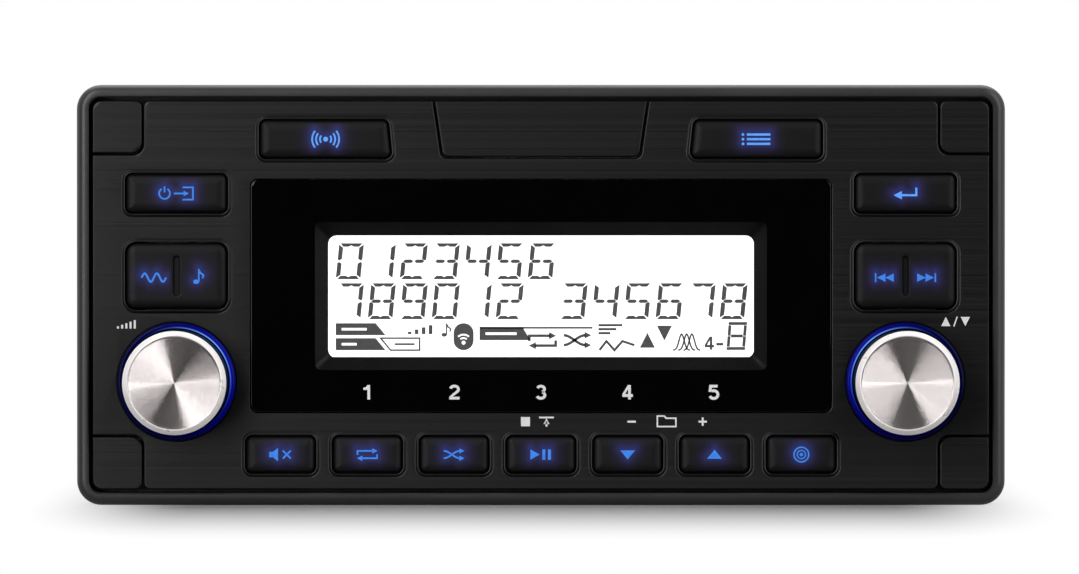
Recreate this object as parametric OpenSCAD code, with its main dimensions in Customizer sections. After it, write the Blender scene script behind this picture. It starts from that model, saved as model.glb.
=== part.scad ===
// Flush-mount marine receiver: trim frame, lit knobs, keys, display and chassis.
// Modelled lying on its back (X right, Y up the face, Z out of the face), then stood up.
// All sizes in millimetres. Zero depth is the rear face of the mounting gasket.

/* [Face] */
// Width of the trim frame
face_w = 190; // [189:0.5:210]
// Height of the trim frame
face_h = 86; // [86:0.5:98]
// Outer corner radius of the trim frame
face_corner_r = 5; // [4.5:0.5:8]
// Width of the raised rim, seen from the front
rim_w = 2.5; // [2.4:0.1:3]
// Depth of the rim in front of the gasket
rim_d = 11.5; // [11.5:0.5:15]
// Rounding of the rim's outer front edge
rim_round = 1.8; // [1:0.1:2]
// Chamfer on the rim's inner front edge
rim_edge = 0.3; // [0.1:0.1:0.4]
// Thickness of the front panel
panel_t = 2.4; // [2.2:0.1:2.8]
// Distance from the rim's crest down to the panel
panel_drop = 0.6; // [0.3:0.1:1]
// Groove between rim and panel
panel_gap = 0.7; // [0.5:0.1:0.8]

/* [Corner caps] */
// Width of a corner cap
cap_w = 10.2; // [9.6:0.1:10.4]
// Height of a corner cap
cap_h = 10.8; // [10.2:0.1:11]
// Corner radius of a cap
cap_r = 1.6; // [1:0.1:2]
// Gap between a cap and the panel
cap_gap = 0.3; // [0.3:0.05:0.5]

/* [Name tab] */
// Width of the bare tab at the panel's top edge
tab_top_w = 43.6; // [36:0.2:46]
// Width of the tab at its lower edge
tab_low_w = 40.2; // [34:0.2:42]
// Height of the tab
tab_h = 11.5; // [9:0.1:12]
// Thickness of the tab
tab_t = 1; // [0.8:0.1:1.3]

/* [Display] */
// Distance from the side of the face to the lens
lens_side = 35.6; // [35.4:0.1:38]
// Distance from the panel's top edge to the lens
lens_top = 16.2; // [15.6:0.1:18]
// Distance from the panel's bottom edge to the lens
lens_low = 15.8; // [15.4:0.1:18]
// Corner radius of the lens
lens_r = 1.5; // [1:0.1:3]
// Thickness of the lens
lens_t = 1.5; // [1.2:0.1:1.6]
// Width of the printed window in the film behind the lens
window_w = 92.5; // [88:0.5:96]
// Height of the printed window
window_h = 30.3; // [28:0.1:33]
// Width of the bevel round the view
bevel_w = 2.6; // [1.5:0.1:3]

/* [Keys] */
// Travel of a push key
key_travel = 0.8; // [0.4:0.1:1]
// Height of a key above the panel
key_proud = 1.1; // [0.8:0.1:1.4]
// Gap round a key in its opening
key_gap = 0.3; // [0.25:0.05:0.4]
// Corner radius of the push keys
key_r = 1.2; // [1:0.1:2]
// Rounding of a key's front edges
key_round = 0.8; // [0.4:0.1:1]
// Width of the raised bead round an opening
bead_w = 0.8; // [0.5:0.1:0.9]
// Height of the bead above the panel
bead_h = 0.45; // [0.2:0.05:0.6]
// Distance from the side of the face to the lower row
row_side = 34.72; // [34.4:0.02:36]
// Space between the keys of the lower row
row_space = 3.76; // [3.4:0.02:4.6]
// Height of a key in the lower row
row_key_h = 7.4; // [6.5:0.1:8]
// Width of the keys and rockers in the side columns
side_key_w = 20.5; // [18:0.1:20.8]
// Distance from the panel's top edge to the source and enter keys
side_top = 15.1; // [14.6:0.1:16]
// Space between one of these keys and the rocker below it
rocker_gap = 6.3; // [5:0.1:7]
// How much taller a rocker is than one of these keys
rocker_more = 5.6; // [4:0.1:6.6]
// Space between a rocker and the light ring below it
ring_gap = 2.75; // [2.6:0.05:4]
// Tilt of a rocker each way, in degrees
rocker_tilt = 2; // [1:0.1:2]
// Width of the scan and menu keys
top_key_w = 26.8; // [24:0.1:27.4]
// Height of the scan and menu keys
top_key_h = 7.7; // [7:0.1:8]

/* [Knobs] */
// Diameter of a knob
knob_d = 21.2; // [19:0.1:21.4]
// Height of a knob above the panel
knob_h = 12.6; // [11:0.1:15]
// Outer diameter of a light ring
ring_d = 24.3; // [24:0.1:24.6]
// Width of a light ring
ring_w = 1.2; // [0.8:0.1:1.2]
// Height of a light ring above the panel
ring_proud = 1.6; // [0.8:0.1:1.8]
// Distance from the panel's bottom edge to the light rings
ring_low = 9.95; // [9.8:0.05:11]

/* [Mounting] */
// Diameter of the mounting screw holes
screw_hole_d = 4.5; // [4:0.1:4.8]
// Thickness of the mounting gasket
gasket_t = 1.5; // [1:0.1:2.5]
// Face overhang beyond the collar at each side
overhang_x = 11.8; // [11.6:0.1:12.4]
// Face overhang beyond the collar above and below
overhang_y = 6.8; // [6.6:0.1:7.2]
// Length of the collar behind the gasket
collar_d = 8; // [7:0.5:12]

/* [Chassis] */
// Depth of the chassis behind the gasket
chassis_d = 74; // [70:1:110]
// Thickness of the sheet metal
sheet_t = 1.2; // [0.8:0.1:1.6]
// Length of the heat sink's fins
fin_d = 14; // [8:0.5:20]
// Thickness of a fin
fin_t = 1.8; // [1.2:0.1:2.4]
// Number of fins
fin_count = 13; // [8:1:14]
// Diameter of the bore for the harness
harness_d = 14; // [10:0.5:16]
// Diameter of the antenna socket's bore
antenna_d = 9.4; // [8:0.1:9.8]

/* [Hidden] */
$fn = 64;
cut = 1; // overshoot of a cut past a face
fit = 0.05; // running clearance on a radius
press = 0.02; // clearance of a push fit on a radius
lay = 0.3; // clearance between parts that only lie beside each other
corner_steps = 6; // flats round a corner of a slanted outline

// Depths, out of the face positive
flange_t = 3;
flange_front = gasket_t + flange_t;
rim_front = gasket_t + rim_d;
panel_front = rim_front - panel_drop;
panel_back = panel_front - panel_t;
board_t = 1.6;
board_back = gasket_t;
board_front = board_back + board_t;
mat_t = 1;
dome_h = 0.9;
dome_top = board_front + mat_t + dome_h;
key_front = panel_front + key_proud;
lip_t = 0.8;
lip_rest = 0.2; // from a key's lip to the panel
lip_front = panel_back - lip_rest;
lip_back = lip_front - lip_t;
press_rest = 0.15; // left between plunger and dome at full travel
plunger_end = dome_top + key_travel + press_rest;
plunger_d = 3.5;
lip_w = 0.8; // reach of a key's lip behind the panel

// Outline of the face
rim_in_w = face_w - 2 * rim_w;
rim_in_h = face_h - 2 * rim_w;
panel_w = rim_in_w - 2 * panel_gap;
panel_h = rim_in_h - 2 * panel_gap;
cap_x = panel_w / 2 - cap_w / 2;
cap_y = panel_h / 2 - cap_h / 2;
cap_leg_d = 2;
cap_leg_in = 1.3;
cap_leg_x = cap_w / 2 - cap_leg_in;
cap_leg_y = cap_h / 2 - cap_leg_in;
cap_socket_d = cap_leg_d + 2 * fit;
cap_socket_t = 1.5;

// Columns and rows of controls, measured in from the panel's edges
column_in = 17.25;
column_x = panel_w / 2 - column_in;
side_key_h = (panel_h - side_top - rocker_gap - rocker_more - ring_gap - ring_d - ring_low) / 2;
rocker_h = side_key_h + rocker_more;
side_key_y = panel_h / 2 - side_top - side_key_h / 2;
rocker_y = side_key_y - side_key_h / 2 - rocker_gap - rocker_h / 2;
knob_y = ring_low + ring_d / 2 - panel_h / 2;
row_keys = 7;
row_low = 7.2;
row_y = row_low - panel_h / 2;
row_end = face_w / 2 - row_side;
row_key_w = (2 * row_end - (row_keys - 1) * row_space) / row_keys;
row_pitch = row_key_w + row_space;
top_key_down = 7.9;
top_key_y = panel_h / 2 - top_key_down;
top_key_off = 8.8; // from the tab to the scan and menu keys
top_key_x = tab_top_w / 2 + top_key_off + top_key_w / 2;
top_key_slant = 0.8;
lens_w = face_w - 2 * lens_side;
lens_h = panel_h - lens_top - lens_low;
display_y = (lens_low - lens_top) / 2;

// Rockers
rocker_r = 2;
pivot_in = 1.2;
pivot_z = panel_back - pivot_in;
pin_d = 1.6;
pin_l = 1.5;
ear_w = 4;
ear_t = 1.3;
ear_gap = 0.1; // from the opening's wall to an ear
ear_h = 2.8;
rocker_rest = 0.35; // left between lip and panel at full tilt
rocker_lip_front = panel_back - rocker_rest - (side_key_w / 2 + key_gap + lip_w) * sin(rocker_tilt);
rocker_lip_back = rocker_lip_front - lip_t;
rocker_plunger_x = 5.6;
rocker_plunger_end = dome_top + press_rest + (rocker_plunger_x + plunger_d) * sin(rocker_tilt);
slot_w = 1.25;
slot_in = 2.7; // from the slot to the rocker's edges
slot_l = rocker_h - 2 * slot_in;
slot_t = 0.8;

// Knobs, light rings and encoders
ring_r = ring_d / 2;
ring_in_r = ring_r - ring_w;
ring_crest = panel_front + ring_proud;
ring_flange_w = 0.6;
ring_flange_r = ring_r + ring_flange_w;
web_t = 1;
knob_r = knob_d / 2;
knob_front = panel_front + knob_h;
knob_sunk = 0.6;
knob_back = panel_front - knob_sunk;
knob_wall = 1.2;
knob_face_t = 1.65;
knob_dish = 0.35;
knob_chamfer = 0.8;
knob_land = 0.3;
knob_ring_w = knob_chamfer + knob_land;
shaft_r = 3;
shaft_flat = 0.6; // depth of the flat on the shaft
shaft_in = 3;
shaft_top = knob_front - shaft_in;
bushing_r = 3.5;
bushing_proud = 1.2;
bushing_top = panel_front + bushing_proud;
encoder_w = 12;
encoder_h = 13;
encoder_drop = 1.5;
encoder_top = panel_back - encoder_drop;
bushing_base = 0.15;
bushing_floor = encoder_top + bushing_base;
shaft_rest = 0.1;
shaft_low = bushing_floor + shaft_rest;
hub_r = 5;
hub_gap = 0.8;
hub_low = bushing_top + hub_gap;
core_t = 2.5;
core_top = knob_front - knob_dish - knob_face_t;

// Display stack
lens_proud = 0.2;
lens_front = panel_front + lens_proud;
lens_back = lens_front - lens_t;
film_t = 0.2;
film_back = lens_back - film_t;
lens_fit = 0.15;
ledge_w = 2;
window_r = 1.2;
view_w = window_w - 2 * bevel_w;
view_h = window_h - 2 * bevel_w;
view_r = 0.8;
bevel_d = 2;
bezel_lip = 0.2;
bevel_end = film_back - bevel_d;
glass_front = bevel_end - bezel_lip;
glass_t = 2.2;
glass_back = glass_front - glass_t;
holder_wall = 1.2;
holder_w = window_w + 2 * lay + 2 * holder_wall;
holder_h = window_h + 2 * lay + 2 * holder_wall;

// Name tab
tab_r = 1.2;
tab_gap = 0.3;
tab_back = panel_front - tab_t;

// Housing, collar and gasket
collar_w = face_w - 2 * overhang_x;
collar_h = face_h - 2 * overhang_y;
collar_t = 2.4;
collar_r = 3;
collar_in_w = collar_w - 2 * collar_t;
collar_in_h = collar_h - 2 * collar_t;
pocket_wall = 1; // housing left between the board's pocket and the collar's outside
board_gap = 0.5;
pocket_w = collar_w - 2 * pocket_wall;
pocket_h = collar_h - 2 * pocket_wall;
board_w = pocket_w - 2 * board_gap;
board_h = pocket_h - 2 * board_gap;
gasket_inset = 1;
gasket_fit = 0.5;

// Screws
pilot_d = 2.2;
screw_fit = 0.04; // play of a screw in its pilot, on the diameter
screw_d = pilot_d - screw_fit;
head_d = 4.4;
head_t = 1.4;
recess_w = 0.7;
recess_l = 2.6;
recess_t = 0.7;
boss_d = 5;
edge_boss_d = 3.1;
edge_boss_in = 1.75;
edge_pilot_d = 1.8;
panel_head_d = 3.2;
head_bore_d = 3.6;
head_bore_t = 1.7;
screw_bite = 4.6;
side_boss_in = 3.8;
tab_boss_off = 4.2;
row_boss_off = 5.7;
column_boss_in = 4.6;
board_boss_y = collar_in_h / 2 - head_d / 2 - lay;
board_boss = [
  [tab_top_w / 2 + tab_boss_off, board_boss_y],
  [row_end + row_boss_off, -board_boss_y]
];
panel_boss = [
  [panel_w / 2 - side_boss_in, rocker_y],
  [tab_top_w / 2 + tab_boss_off, panel_h / 2 - edge_boss_in],
  [column_x - column_boss_in, panel_h / 2 - edge_boss_in],
  [row_end + row_boss_off, edge_boss_in - panel_h / 2]
];

// Keypad lamps
lamp_w = 2;
lamp_h = 1.2;
lamp_t = 0.7;
lamp_gap = 0.3;
lamp_x = 4;
ring_lamp_turn = 57; // degrees up from the side, at the ring's mid width
ring_lamp_x = (ring_r - ring_w / 2) * cos(ring_lamp_turn);
ring_lamp_y = (ring_r - ring_w / 2) * sin(ring_lamp_turn);

// Chassis
tray_gap = 0.5;
chassis_w = collar_in_w - 2 * tray_gap;
chassis_h = collar_in_h - 2 * lay;
half_w = chassis_w / 2;
half_h = chassis_h / 2;
tray_step = 0.6;
tray_front = -tray_step;
tray_back = -chassis_d;
flange_reach = 8;
lip_drop = 14;
lip_gap = 0.1;
cover_gap = 1;
cover_step = collar_d + cover_gap;
sink_t = 4;
sink_back = tray_back - sink_t;
plate_w = 66.5; // of the rear plate, with the seam beside the heat sink
sink_end = half_w - plate_w;
seam = 0.2;
plate_t = 2;
plate_back = tray_back - plate_t;
fin_edge = 3;
fin_low = fin_edge - half_w;
fin_pitch = (sink_end - fin_edge - fin_low - fin_t) / (fin_count - 1);
fin_margin = 4;
sheet_screw_d = 2.6;
sheet_screw_l = 3.2;
sheet_head_d = 5;
sheet_head_t = 1.2;
collar_head_t = 1.3;
cover_screw_z = [0.3, 0.6, 0.9];
side_screw_y = half_h - lip_drop / 2;
collar_screw_y = 20;
collar_screw_z = -collar_d / 2;
rear_screw_down = 6;
rear_screw_y = half_h - rear_screw_down;
rear_screw_in = 4;
sink_screws = [
  [rear_screw_in - half_w, rear_screw_y], [rear_screw_in - half_w, -rear_screw_y],
  [sink_end - rear_screw_in, rear_screw_in - half_h]
];
plate_screws = [
  [half_w - rear_screw_in, rear_screw_y], [half_w - rear_screw_in, -rear_screw_y],
  [sink_end + rear_screw_in, rear_screw_in - half_h]
];

// Rear fittings
harness_side = 22.5;
harness_x = half_w - harness_side;
harness_y = 14;
grommet_wall = 3;
grommet_r = harness_d / 2 + grommet_wall;
grommet_flange_w = 6;
grommet_flange_r = harness_d / 2 + grommet_flange_w;
grommet_flange_t = 3;
grommet_in_t = 3;
grommet_l = 12;
grommet_end = plate_back - grommet_l;
grommet_neck_w = 2;
grommet_neck_r = harness_d / 2 + grommet_neck_w;
antenna_x = harness_x;
antenna_y = -13;
antenna_r = antenna_d / 2;
antenna_wall = 1.3;
antenna_flange_w = 2;
antenna_flange_r = antenna_r + antenna_wall + antenna_flange_w;
antenna_flange_t = 1.6;
antenna_l = 12;
antenna_end = plate_back - antenna_l;
antenna_in = 6;
antenna_floor = plate_back + antenna_in;
antenna_base = 2;
antenna_low = antenna_floor + antenna_base;
fuse_off = 26;
fuse_x = harness_x - fuse_off;
fuse_y = -13;
fuse_w = 19;
fuse_h = 5;
fuse_wall = 1.6;
fuse_holder_d = 9;
fuse_floor_t = 2;
fuse_grip = 5;
blade_w = 5;
blade_t = 0.8;
blade_l = 1.8;
blade_x = 5.5;

// Main board and what stands on it
main_side = 5;
main_x = half_w - sheet_t - main_side;
main_lift = 9;
main_top = sheet_t + main_lift - half_h;
main_t = 1.6;
main_low = main_top - main_t;
main_front = -4;
main_rest = 0.6;
main_back = tray_back + sheet_t + main_rest;
standoff_d = 5;
standoff_in = 6;
// Capacitors: place in from the board's left or right edge, diameter, height
left_caps = [[14.1, 12, 24], [32.1, 12, 24], [50.1, 10, 16]];
right_caps = [[44.1, 8, 12], [30.1, 8, 12], [16.1, 10, 18]];
cap_rows = concat(
  [for (c = left_caps) [c[0] - main_x, c[1], c[2]]],
  [for (c = right_caps) [main_x - c[0], c[1], c[2]]]
);
cap_back = 34;
cap_line = main_front - cap_back;
choke_w = 18;
choke_h = 14;
choke_in = 22.1;
choke_x = choke_in - main_x;
choke_up = 14;
choke_z = main_back + choke_up;
tuner_w = 36;
tuner_d = 22;
tuner_h = 12;
tuner_in = 34.1;
tuner_x = main_x - tuner_in;
tuner_up = 16;
tuner_z = main_back + tuner_up;
radio_w = 24;
radio_d = 16;
radio_h = 2.4;
radio_in = 18.1;
radio_x = main_x - radio_in;
radio_back = 12;
radio_z = main_front - radio_back;
chip_w = 28;
chip_h = 18;
chip_t = 4.2;
chip_x = -22;
chip_pins = 9;
chip_pitch = 2.6;
pin_w = 0.8;
chip_lift = 6;
chip_low = main_top + chip_lift;
clamp_w = 40;
clamp_h = 8;
clamp_t = 2;
socket_w = 32;
socket_h = 5;
socket_t = 3.4;
ribbon_w = 30;
ribbon_t = 0.3;
ribbon_up = 14;
ribbon_y = main_top + ribbon_up;
ribbon_back = 6;
ribbon_z = main_front - ribbon_back;
ribbon_bend = 2.5;

function row_x(i) = (i - (row_keys - 1) / 2) * row_pitch;
function level(f) = -cover_step - f * (chassis_d - cover_step);

// Points round a corner of an outline, between the directions that its two edges face
function facing(a, b) = atan2(b[1] - a[1], b[0] - a[0]) - 90;
function onward(a, b) = b < a ? b + 360 : b;
function corner_points(c, i, r) =
  let (n = len(c), a = facing(c[(i + n - 1) % n], c[i]), b = onward(a, facing(c[i], c[(i + 1) % n])))
  [for (k = [0:corner_steps]) let (t = a + (b - a) * k / corner_steps) c[i] + r * [cos(t), sin(t)]];

module stand() { rotate([90, 0, 0]) children(); }

module plate(z0, z1) { translate([0, 0, z0]) linear_extrude(z1 - z0) children(); }

module box(a, b) { translate(a) cube(b - a); }

module both(x, y) { for (s = [-1, 1]) translate([s * x, y]) children(); }

module corners(x, y) { for (s = [-1, 1], t = [-1, 1]) translate([s * x, t * y]) children(); }

module rod_x(x0, x1, y, z, d) {
  translate([x0, y, z]) rotate([0, 90, 0]) cylinder(h = x1 - x0, d = d);
}

module round_rect(w, h, r) {
  square([w, h - 2 * r], center = true);
  square([w - 2 * r, h], center = true);
  corners(w / 2 - r, h / 2 - r) circle(r);
}

// Carries a section (x out from the corner's axis, y up) round a rounded rectangle
module frame_sweep(w, h, r) {
  for (s = [0, 1], t = [0, 1])
    mirror([s, 0, 0]) mirror([0, t, 0]) translate([w / 2 - r, h / 2 - r, 0])
      rotate_extrude(angle = 90) children();
  for (s = [0, 1])
    mirror([s, 0, 0]) translate([w / 2 - r, h / 2 - r, 0])
      rotate([90, 0, 0]) linear_extrude(h - 2 * r) children();
  for (t = [0, 1])
    mirror([0, t, 0]) translate([r - w / 2, h / 2 - r, 0])
      rotate([90, 0, 90]) linear_extrude(w - 2 * r) children();
}

module rim_crest() {
  translate([face_corner_r - rim_w, 0])
    polygon([[0, 0], [rim_w - rim_round, 0], [rim_w - rim_round, rim_round], [rim_edge, rim_round],
      [0, rim_round - rim_edge]]);
  intersection() {
    translate([face_corner_r - rim_round, 0]) circle(rim_round);
    translate([face_corner_r - rim_round, 0]) square([rim_round, rim_round]);
  }
}

// Outlines of the keys, grown all round
module row_outline(grow) { round_rect(row_key_w + 2 * grow, row_key_h + 2 * grow, key_r + grow); }

module side_outline(grow) { round_rect(side_key_w + 2 * grow, side_key_h + 2 * grow, key_r + grow); }

module rocker_outline(grow) { round_rect(side_key_w + 2 * grow, rocker_h + 2 * grow, rocker_r + grow); }

// A rounded outline from its corner circles' centres, anticlockwise, and their radius
module round_poly(c, r) { polygon([for (i = [0:len(c) - 1]) each corner_points(c, i, r)]); }

// The menu key's outline; its inner side leans with the tab. The scan key mirrors it.
module top_outline(grow) {
  x = top_key_w / 2 - key_r;
  y = top_key_h / 2 - key_r;
  round_poly([[-x, -y], [x, -y], [x, y], [top_key_slant - x, y]], key_r + grow);
}

module openings(grow) {
  for (i = [0:row_keys - 1]) translate([row_x(i), row_y]) row_outline(grow);
  both(column_x, side_key_y) side_outline(grow);
  both(column_x, rocker_y) rocker_outline(grow);
  translate([top_key_x, top_key_y]) top_outline(grow);
  mirror([1, 0]) translate([top_key_x, top_key_y]) top_outline(grow);
}

// The tab's outline, run past the panel's top edge
module tab_outline(grow) {
  x = tab_low_w / 2 - tab_r;
  y = panel_h / 2 - tab_h + tab_r;
  lean = (tab_top_w - tab_low_w) / 2 / tab_h;
  rise = tab_h + tab_r;
  round_poly([[-x, y], [x, y], [x + lean * rise, y + rise], [-x - lean * rise, y + rise]], tab_r + grow);
}

module panel_outline() {
  difference() {
    square([panel_w, panel_h], center = true);
    corners(panel_w / 2, panel_h / 2)
      round_rect(2 * (cap_w + cap_gap), 2 * (cap_h + cap_gap), cap_r + cap_gap);
  }
}

module board_boss_at() { for (p = board_boss) both(p[0], p[1]) children(); }

module panel_boss_at() { for (p = panel_boss) both(p[0], p[1]) children(); }

// A pan-head screw along Z, its head above zero
module screw(head, thick, d, l) {
  difference() {
    cylinder(h = thick, d = head);
    translate([0, 0, thick - recess_t / 2]) cube([recess_l, recess_w, recess_t], center = true);
    translate([0, 0, thick - recess_t / 2]) cube([recess_w, recess_l, recess_t], center = true);
  }
  translate([0, 0, -l]) cylinder(h = l, d = d);
}

module front_housing() {
  color([0.06, 0.06, 0.07])
  difference() {
    union() {
      plate(gasket_t, rim_front - rim_round) difference() {
        round_rect(face_w, face_h, face_corner_r);
        round_rect(rim_in_w, rim_in_h, face_corner_r - rim_w);
      }
      translate([0, 0, rim_front - rim_round]) frame_sweep(face_w, face_h, face_corner_r) rim_crest();
      plate(gasket_t, flange_front) difference() {
        round_rect(face_w - rim_w, face_h - rim_w, face_corner_r - rim_w / 2);
        round_rect(pocket_w, pocket_h, collar_r);
      }
      plate(-collar_d, gasket_t) difference() {
        round_rect(collar_w, collar_h, collar_r);
        round_rect(collar_in_w, collar_in_h, collar_r - collar_t);
      }
    }
    plate(-cut, flange_front + cut) corners(cap_x, cap_y) circle(d = screw_hole_d);
    plate(flange_front - cap_socket_t, flange_front + cut) {
      corners(cap_x, cap_y) translate([cap_leg_x, cap_leg_y]) circle(d = cap_socket_d);
      corners(cap_x, cap_y) translate([-cap_leg_x, -cap_leg_y]) circle(d = cap_socket_d);
    }
    plate(gasket_t - cut, flange_front + cut) panel_boss_at() circle(d = edge_pilot_d);
    plate(gasket_t - cut, gasket_t + head_bore_t) panel_boss_at() circle(d = head_bore_d);
    for (s = [0, 1], y = [-1, 1]) mirror([s, 0, 0]) {
      rod_x(collar_in_w / 2 - cut, collar_w / 2 + cut, y * collar_screw_y, collar_screw_z, sheet_screw_d);
      rod_x(collar_w / 2 - collar_head_t, collar_w / 2 + cut, y * collar_screw_y, collar_screw_z,
        sheet_head_d + 2 * lay);
    }
  }
}

module front_panel() {
  color([0.13, 0.13, 0.14])
  difference() {
    union() {
      plate(panel_back, panel_front) panel_outline();
      plate(panel_front - panel_t / 2, panel_front + bead_h) openings(key_gap + bead_w);
      plate(board_front, panel_back) board_boss_at() circle(d = boss_d);
      plate(flange_front, panel_back) panel_boss_at() circle(d = edge_boss_d);
      for (t = [-1, 1])
        plate(panel_back - ear_h, panel_back)
          both(column_x, rocker_y + t * (rocker_h / 2 + key_gap + ear_gap + ear_t / 2))
            square([ear_w, ear_t], center = true);
    }
    plate(panel_back - cut, panel_front + cut) openings(key_gap);
    plate(film_back, panel_front + cut)
      translate([0, display_y]) round_rect(lens_w + 2 * lens_fit, lens_h + 2 * lens_fit, lens_r + lens_fit);
    plate(panel_back - cut, panel_front)
      translate([0, display_y]) round_rect(lens_w - 2 * ledge_w, lens_h - 2 * ledge_w, lens_r);
    plate(panel_back - cut, panel_front + cut) both(column_x, knob_y) circle(ring_r + fit);
    plate(tab_back, panel_front + cut) tab_outline(tab_gap);
    plate(board_front - cut, board_front + screw_bite) board_boss_at() circle(d = pilot_d);
    plate(flange_front - cut, flange_front + screw_bite) panel_boss_at() circle(d = edge_pilot_d);
    for (s = [-1, 1])
      translate([s * column_x, rocker_y, pivot_z]) rotate([90, 0, 0])
        cylinder(h = rocker_h + 4 * pin_l, d = pin_d + 2 * fit, center = true);
  }
}

module name_tab() {
  color([0.11, 0.11, 0.12])
  plate(tab_back, panel_front) intersection() {
    tab_outline(0);
    square([panel_w, panel_h], center = true);
  }
}

module corner_cap() {
  color([0.13, 0.13, 0.14]) {
    plate(panel_back, panel_front) round_rect(cap_w, cap_h, cap_r);
    plate(flange_front - cap_socket_t + lay, panel_back) {
      translate([cap_leg_x, cap_leg_y]) circle(d = cap_leg_d);
      translate([-cap_leg_x, -cap_leg_y]) circle(d = cap_leg_d);
    }
  }
}

module corner_cap_tl() { translate([-cap_x, cap_y, 0]) corner_cap(); }

module corner_cap_tr() { translate([cap_x, cap_y, 0]) corner_cap(); }

module corner_cap_bl() { translate([-cap_x, -cap_y, 0]) corner_cap(); }

module corner_cap_br() { translate([cap_x, -cap_y, 0]) corner_cap(); }

module display_lens() {
  color([0.1, 0.1, 0.12, 0.4])
  translate([0, display_y, 0]) plate(lens_back, lens_front) round_rect(lens_w, lens_h, lens_r);
}

module lens_film() {
  color([0.01, 0.01, 0.01])
  translate([0, display_y, 0]) plate(film_back, lens_back) difference() {
    round_rect(lens_w, lens_h, lens_r);
    round_rect(window_w, window_h, window_r);
  }
}

module display_frame() {
  color([0.08, 0.08, 0.08])
  translate([0, display_y, 0]) difference() {
    plate(board_front, film_back) round_rect(holder_w, holder_h, window_r + holder_wall);
    plate(board_front - cut, glass_front)
      square([window_w + 2 * lay, window_h + 2 * lay], center = true);
    plate(glass_front - cut, film_back) round_rect(view_w, view_h, view_r);
    hull() {
      plate(bevel_end, bevel_end + lens_fit) round_rect(view_w, view_h, view_r);
      plate(film_back, film_back + lens_fit) round_rect(window_w, window_h, window_r);
    }
  }
}

module lcd_glass() {
  color([0.93, 0.95, 0.94])
  translate([0, display_y, 0]) plate(glass_back, glass_front)
    square([window_w, window_h], center = true);
}

module lcd_backlight() {
  color([0.9, 0.9, 0.88])
  translate([0, display_y, 0]) plate(board_front, glass_back)
    square([window_w, window_h], center = true);
}

// A light ring: rounded crest, flange behind the panel and a web round the bushing
module light_ring() {
  color([0.05, 0.15, 0.75])
  rotate_extrude() {
    translate([ring_in_r, panel_back - web_t])
      square([ring_w, ring_crest - ring_w / 2 - panel_back + web_t]);
    translate([ring_in_r + ring_w / 2, ring_crest - ring_w / 2]) circle(ring_w / 2);
    translate([bushing_r + 2 * fit, panel_back - web_t])
      square([ring_flange_r - bushing_r - 2 * fit, web_t]);
  }
}

module light_ring_left() { translate([-column_x, knob_y, 0]) light_ring(); }

module light_ring_right() { translate([column_x, knob_y, 0]) light_ring(); }

module knob() {
  color([0.75, 0.75, 0.77])
  rotate_extrude()
    polygon([
      [0, core_top], [knob_r - knob_wall, core_top], [knob_r - knob_wall, knob_back],
      [knob_r, knob_back], [knob_r, knob_front - knob_chamfer],
      [knob_r - knob_chamfer, knob_front], [knob_r - knob_ring_w, knob_front],
      [knob_r - knob_ring_w, knob_front - knob_dish], [0, knob_front - knob_dish]
    ]);
}

module shaft_outline(grow) {
  difference() {
    circle(shaft_r + grow);
    translate([-shaft_r - cut, shaft_r - shaft_flat + grow]) square([2 * shaft_r + 2 * cut, shaft_r]);
  }
}

module knob_core() {
  color([0.1, 0.1, 0.1])
  difference() {
    union() {
      plate(core_top - core_t, core_top) circle(knob_r - knob_wall - fit);
      plate(hub_low, core_top - core_t) circle(hub_r);
    }
    plate(hub_low - cut, shaft_top + lay) shaft_outline(press);
  }
}

module shaft() {
  color([0.7, 0.7, 0.72]) {
    plate(shaft_low, hub_low - lay) circle(shaft_r);
    plate(hub_low - lay, shaft_top) shaft_outline(0);
  }
}

module volume_knob() { translate([-column_x, knob_y, 0]) knob(); }

module volume_core() { translate([-column_x, knob_y, 0]) knob_core(); }

module volume_shaft() { translate([-column_x, knob_y, 0]) shaft(); }

module tuning_knob() { translate([column_x, knob_y, 0]) knob(); }

module tuning_core() { translate([column_x, knob_y, 0]) knob_core(); }

module tuning_shaft() { translate([column_x, knob_y, 0]) shaft(); }

module encoder() {
  color([0.45, 0.46, 0.48])
  difference() {
    union() {
      plate(board_front, encoder_top) square([encoder_w, encoder_h], center = true);
      plate(encoder_top, bushing_top) circle(bushing_r);
    }
    plate(bushing_floor, bushing_top + cut) circle(shaft_r + fit);
  }
}

module encoder_left() { translate([-column_x, knob_y, 0]) encoder(); }

module encoder_right() { translate([column_x, knob_y, 0]) encoder(); }

// Section of a key with rounded front edges, x across, y out of the face
module crown(w, z0) {
  translate([-w / 2 - fit, z0]) square([w + 2 * fit, key_front - key_round - z0]);
  translate([-w / 2 - fit + key_round, z0]) square([w + 2 * fit - 2 * key_round, key_front - z0]);
  both(w / 2 + fit - key_round, key_front - key_round) circle(key_round);
}

// A key body from its outline, with both pairs of front edges rounded
module key_body(w, h, z0) {
  reach = w + h;
  intersection() {
    plate(z0, key_front + cut) children();
    rotate([90, 0, 0]) linear_extrude(reach, center = true) crown(w, z0);
    rotate([90, 0, 90]) linear_extrude(reach, center = true) crown(h, z0);
  }
}

module plunger() { plate(plunger_end, lip_back) circle(d = plunger_d); }

module row_key(i) {
  color([0.05, 0.05, 0.06])
  translate([row_x(i), row_y, 0]) {
    key_body(row_key_w, row_key_h, lip_back) row_outline(0);
    plate(lip_back, lip_front) row_outline(key_gap + lip_w);
    plunger();
  }
}

module side_key(s) {
  color([0.05, 0.05, 0.06])
  translate([s * column_x, side_key_y, 0]) {
    key_body(side_key_w, side_key_h, lip_back) side_outline(0);
    plate(lip_back, lip_front) side_outline(key_gap + lip_w);
    plunger();
  }
}

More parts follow.
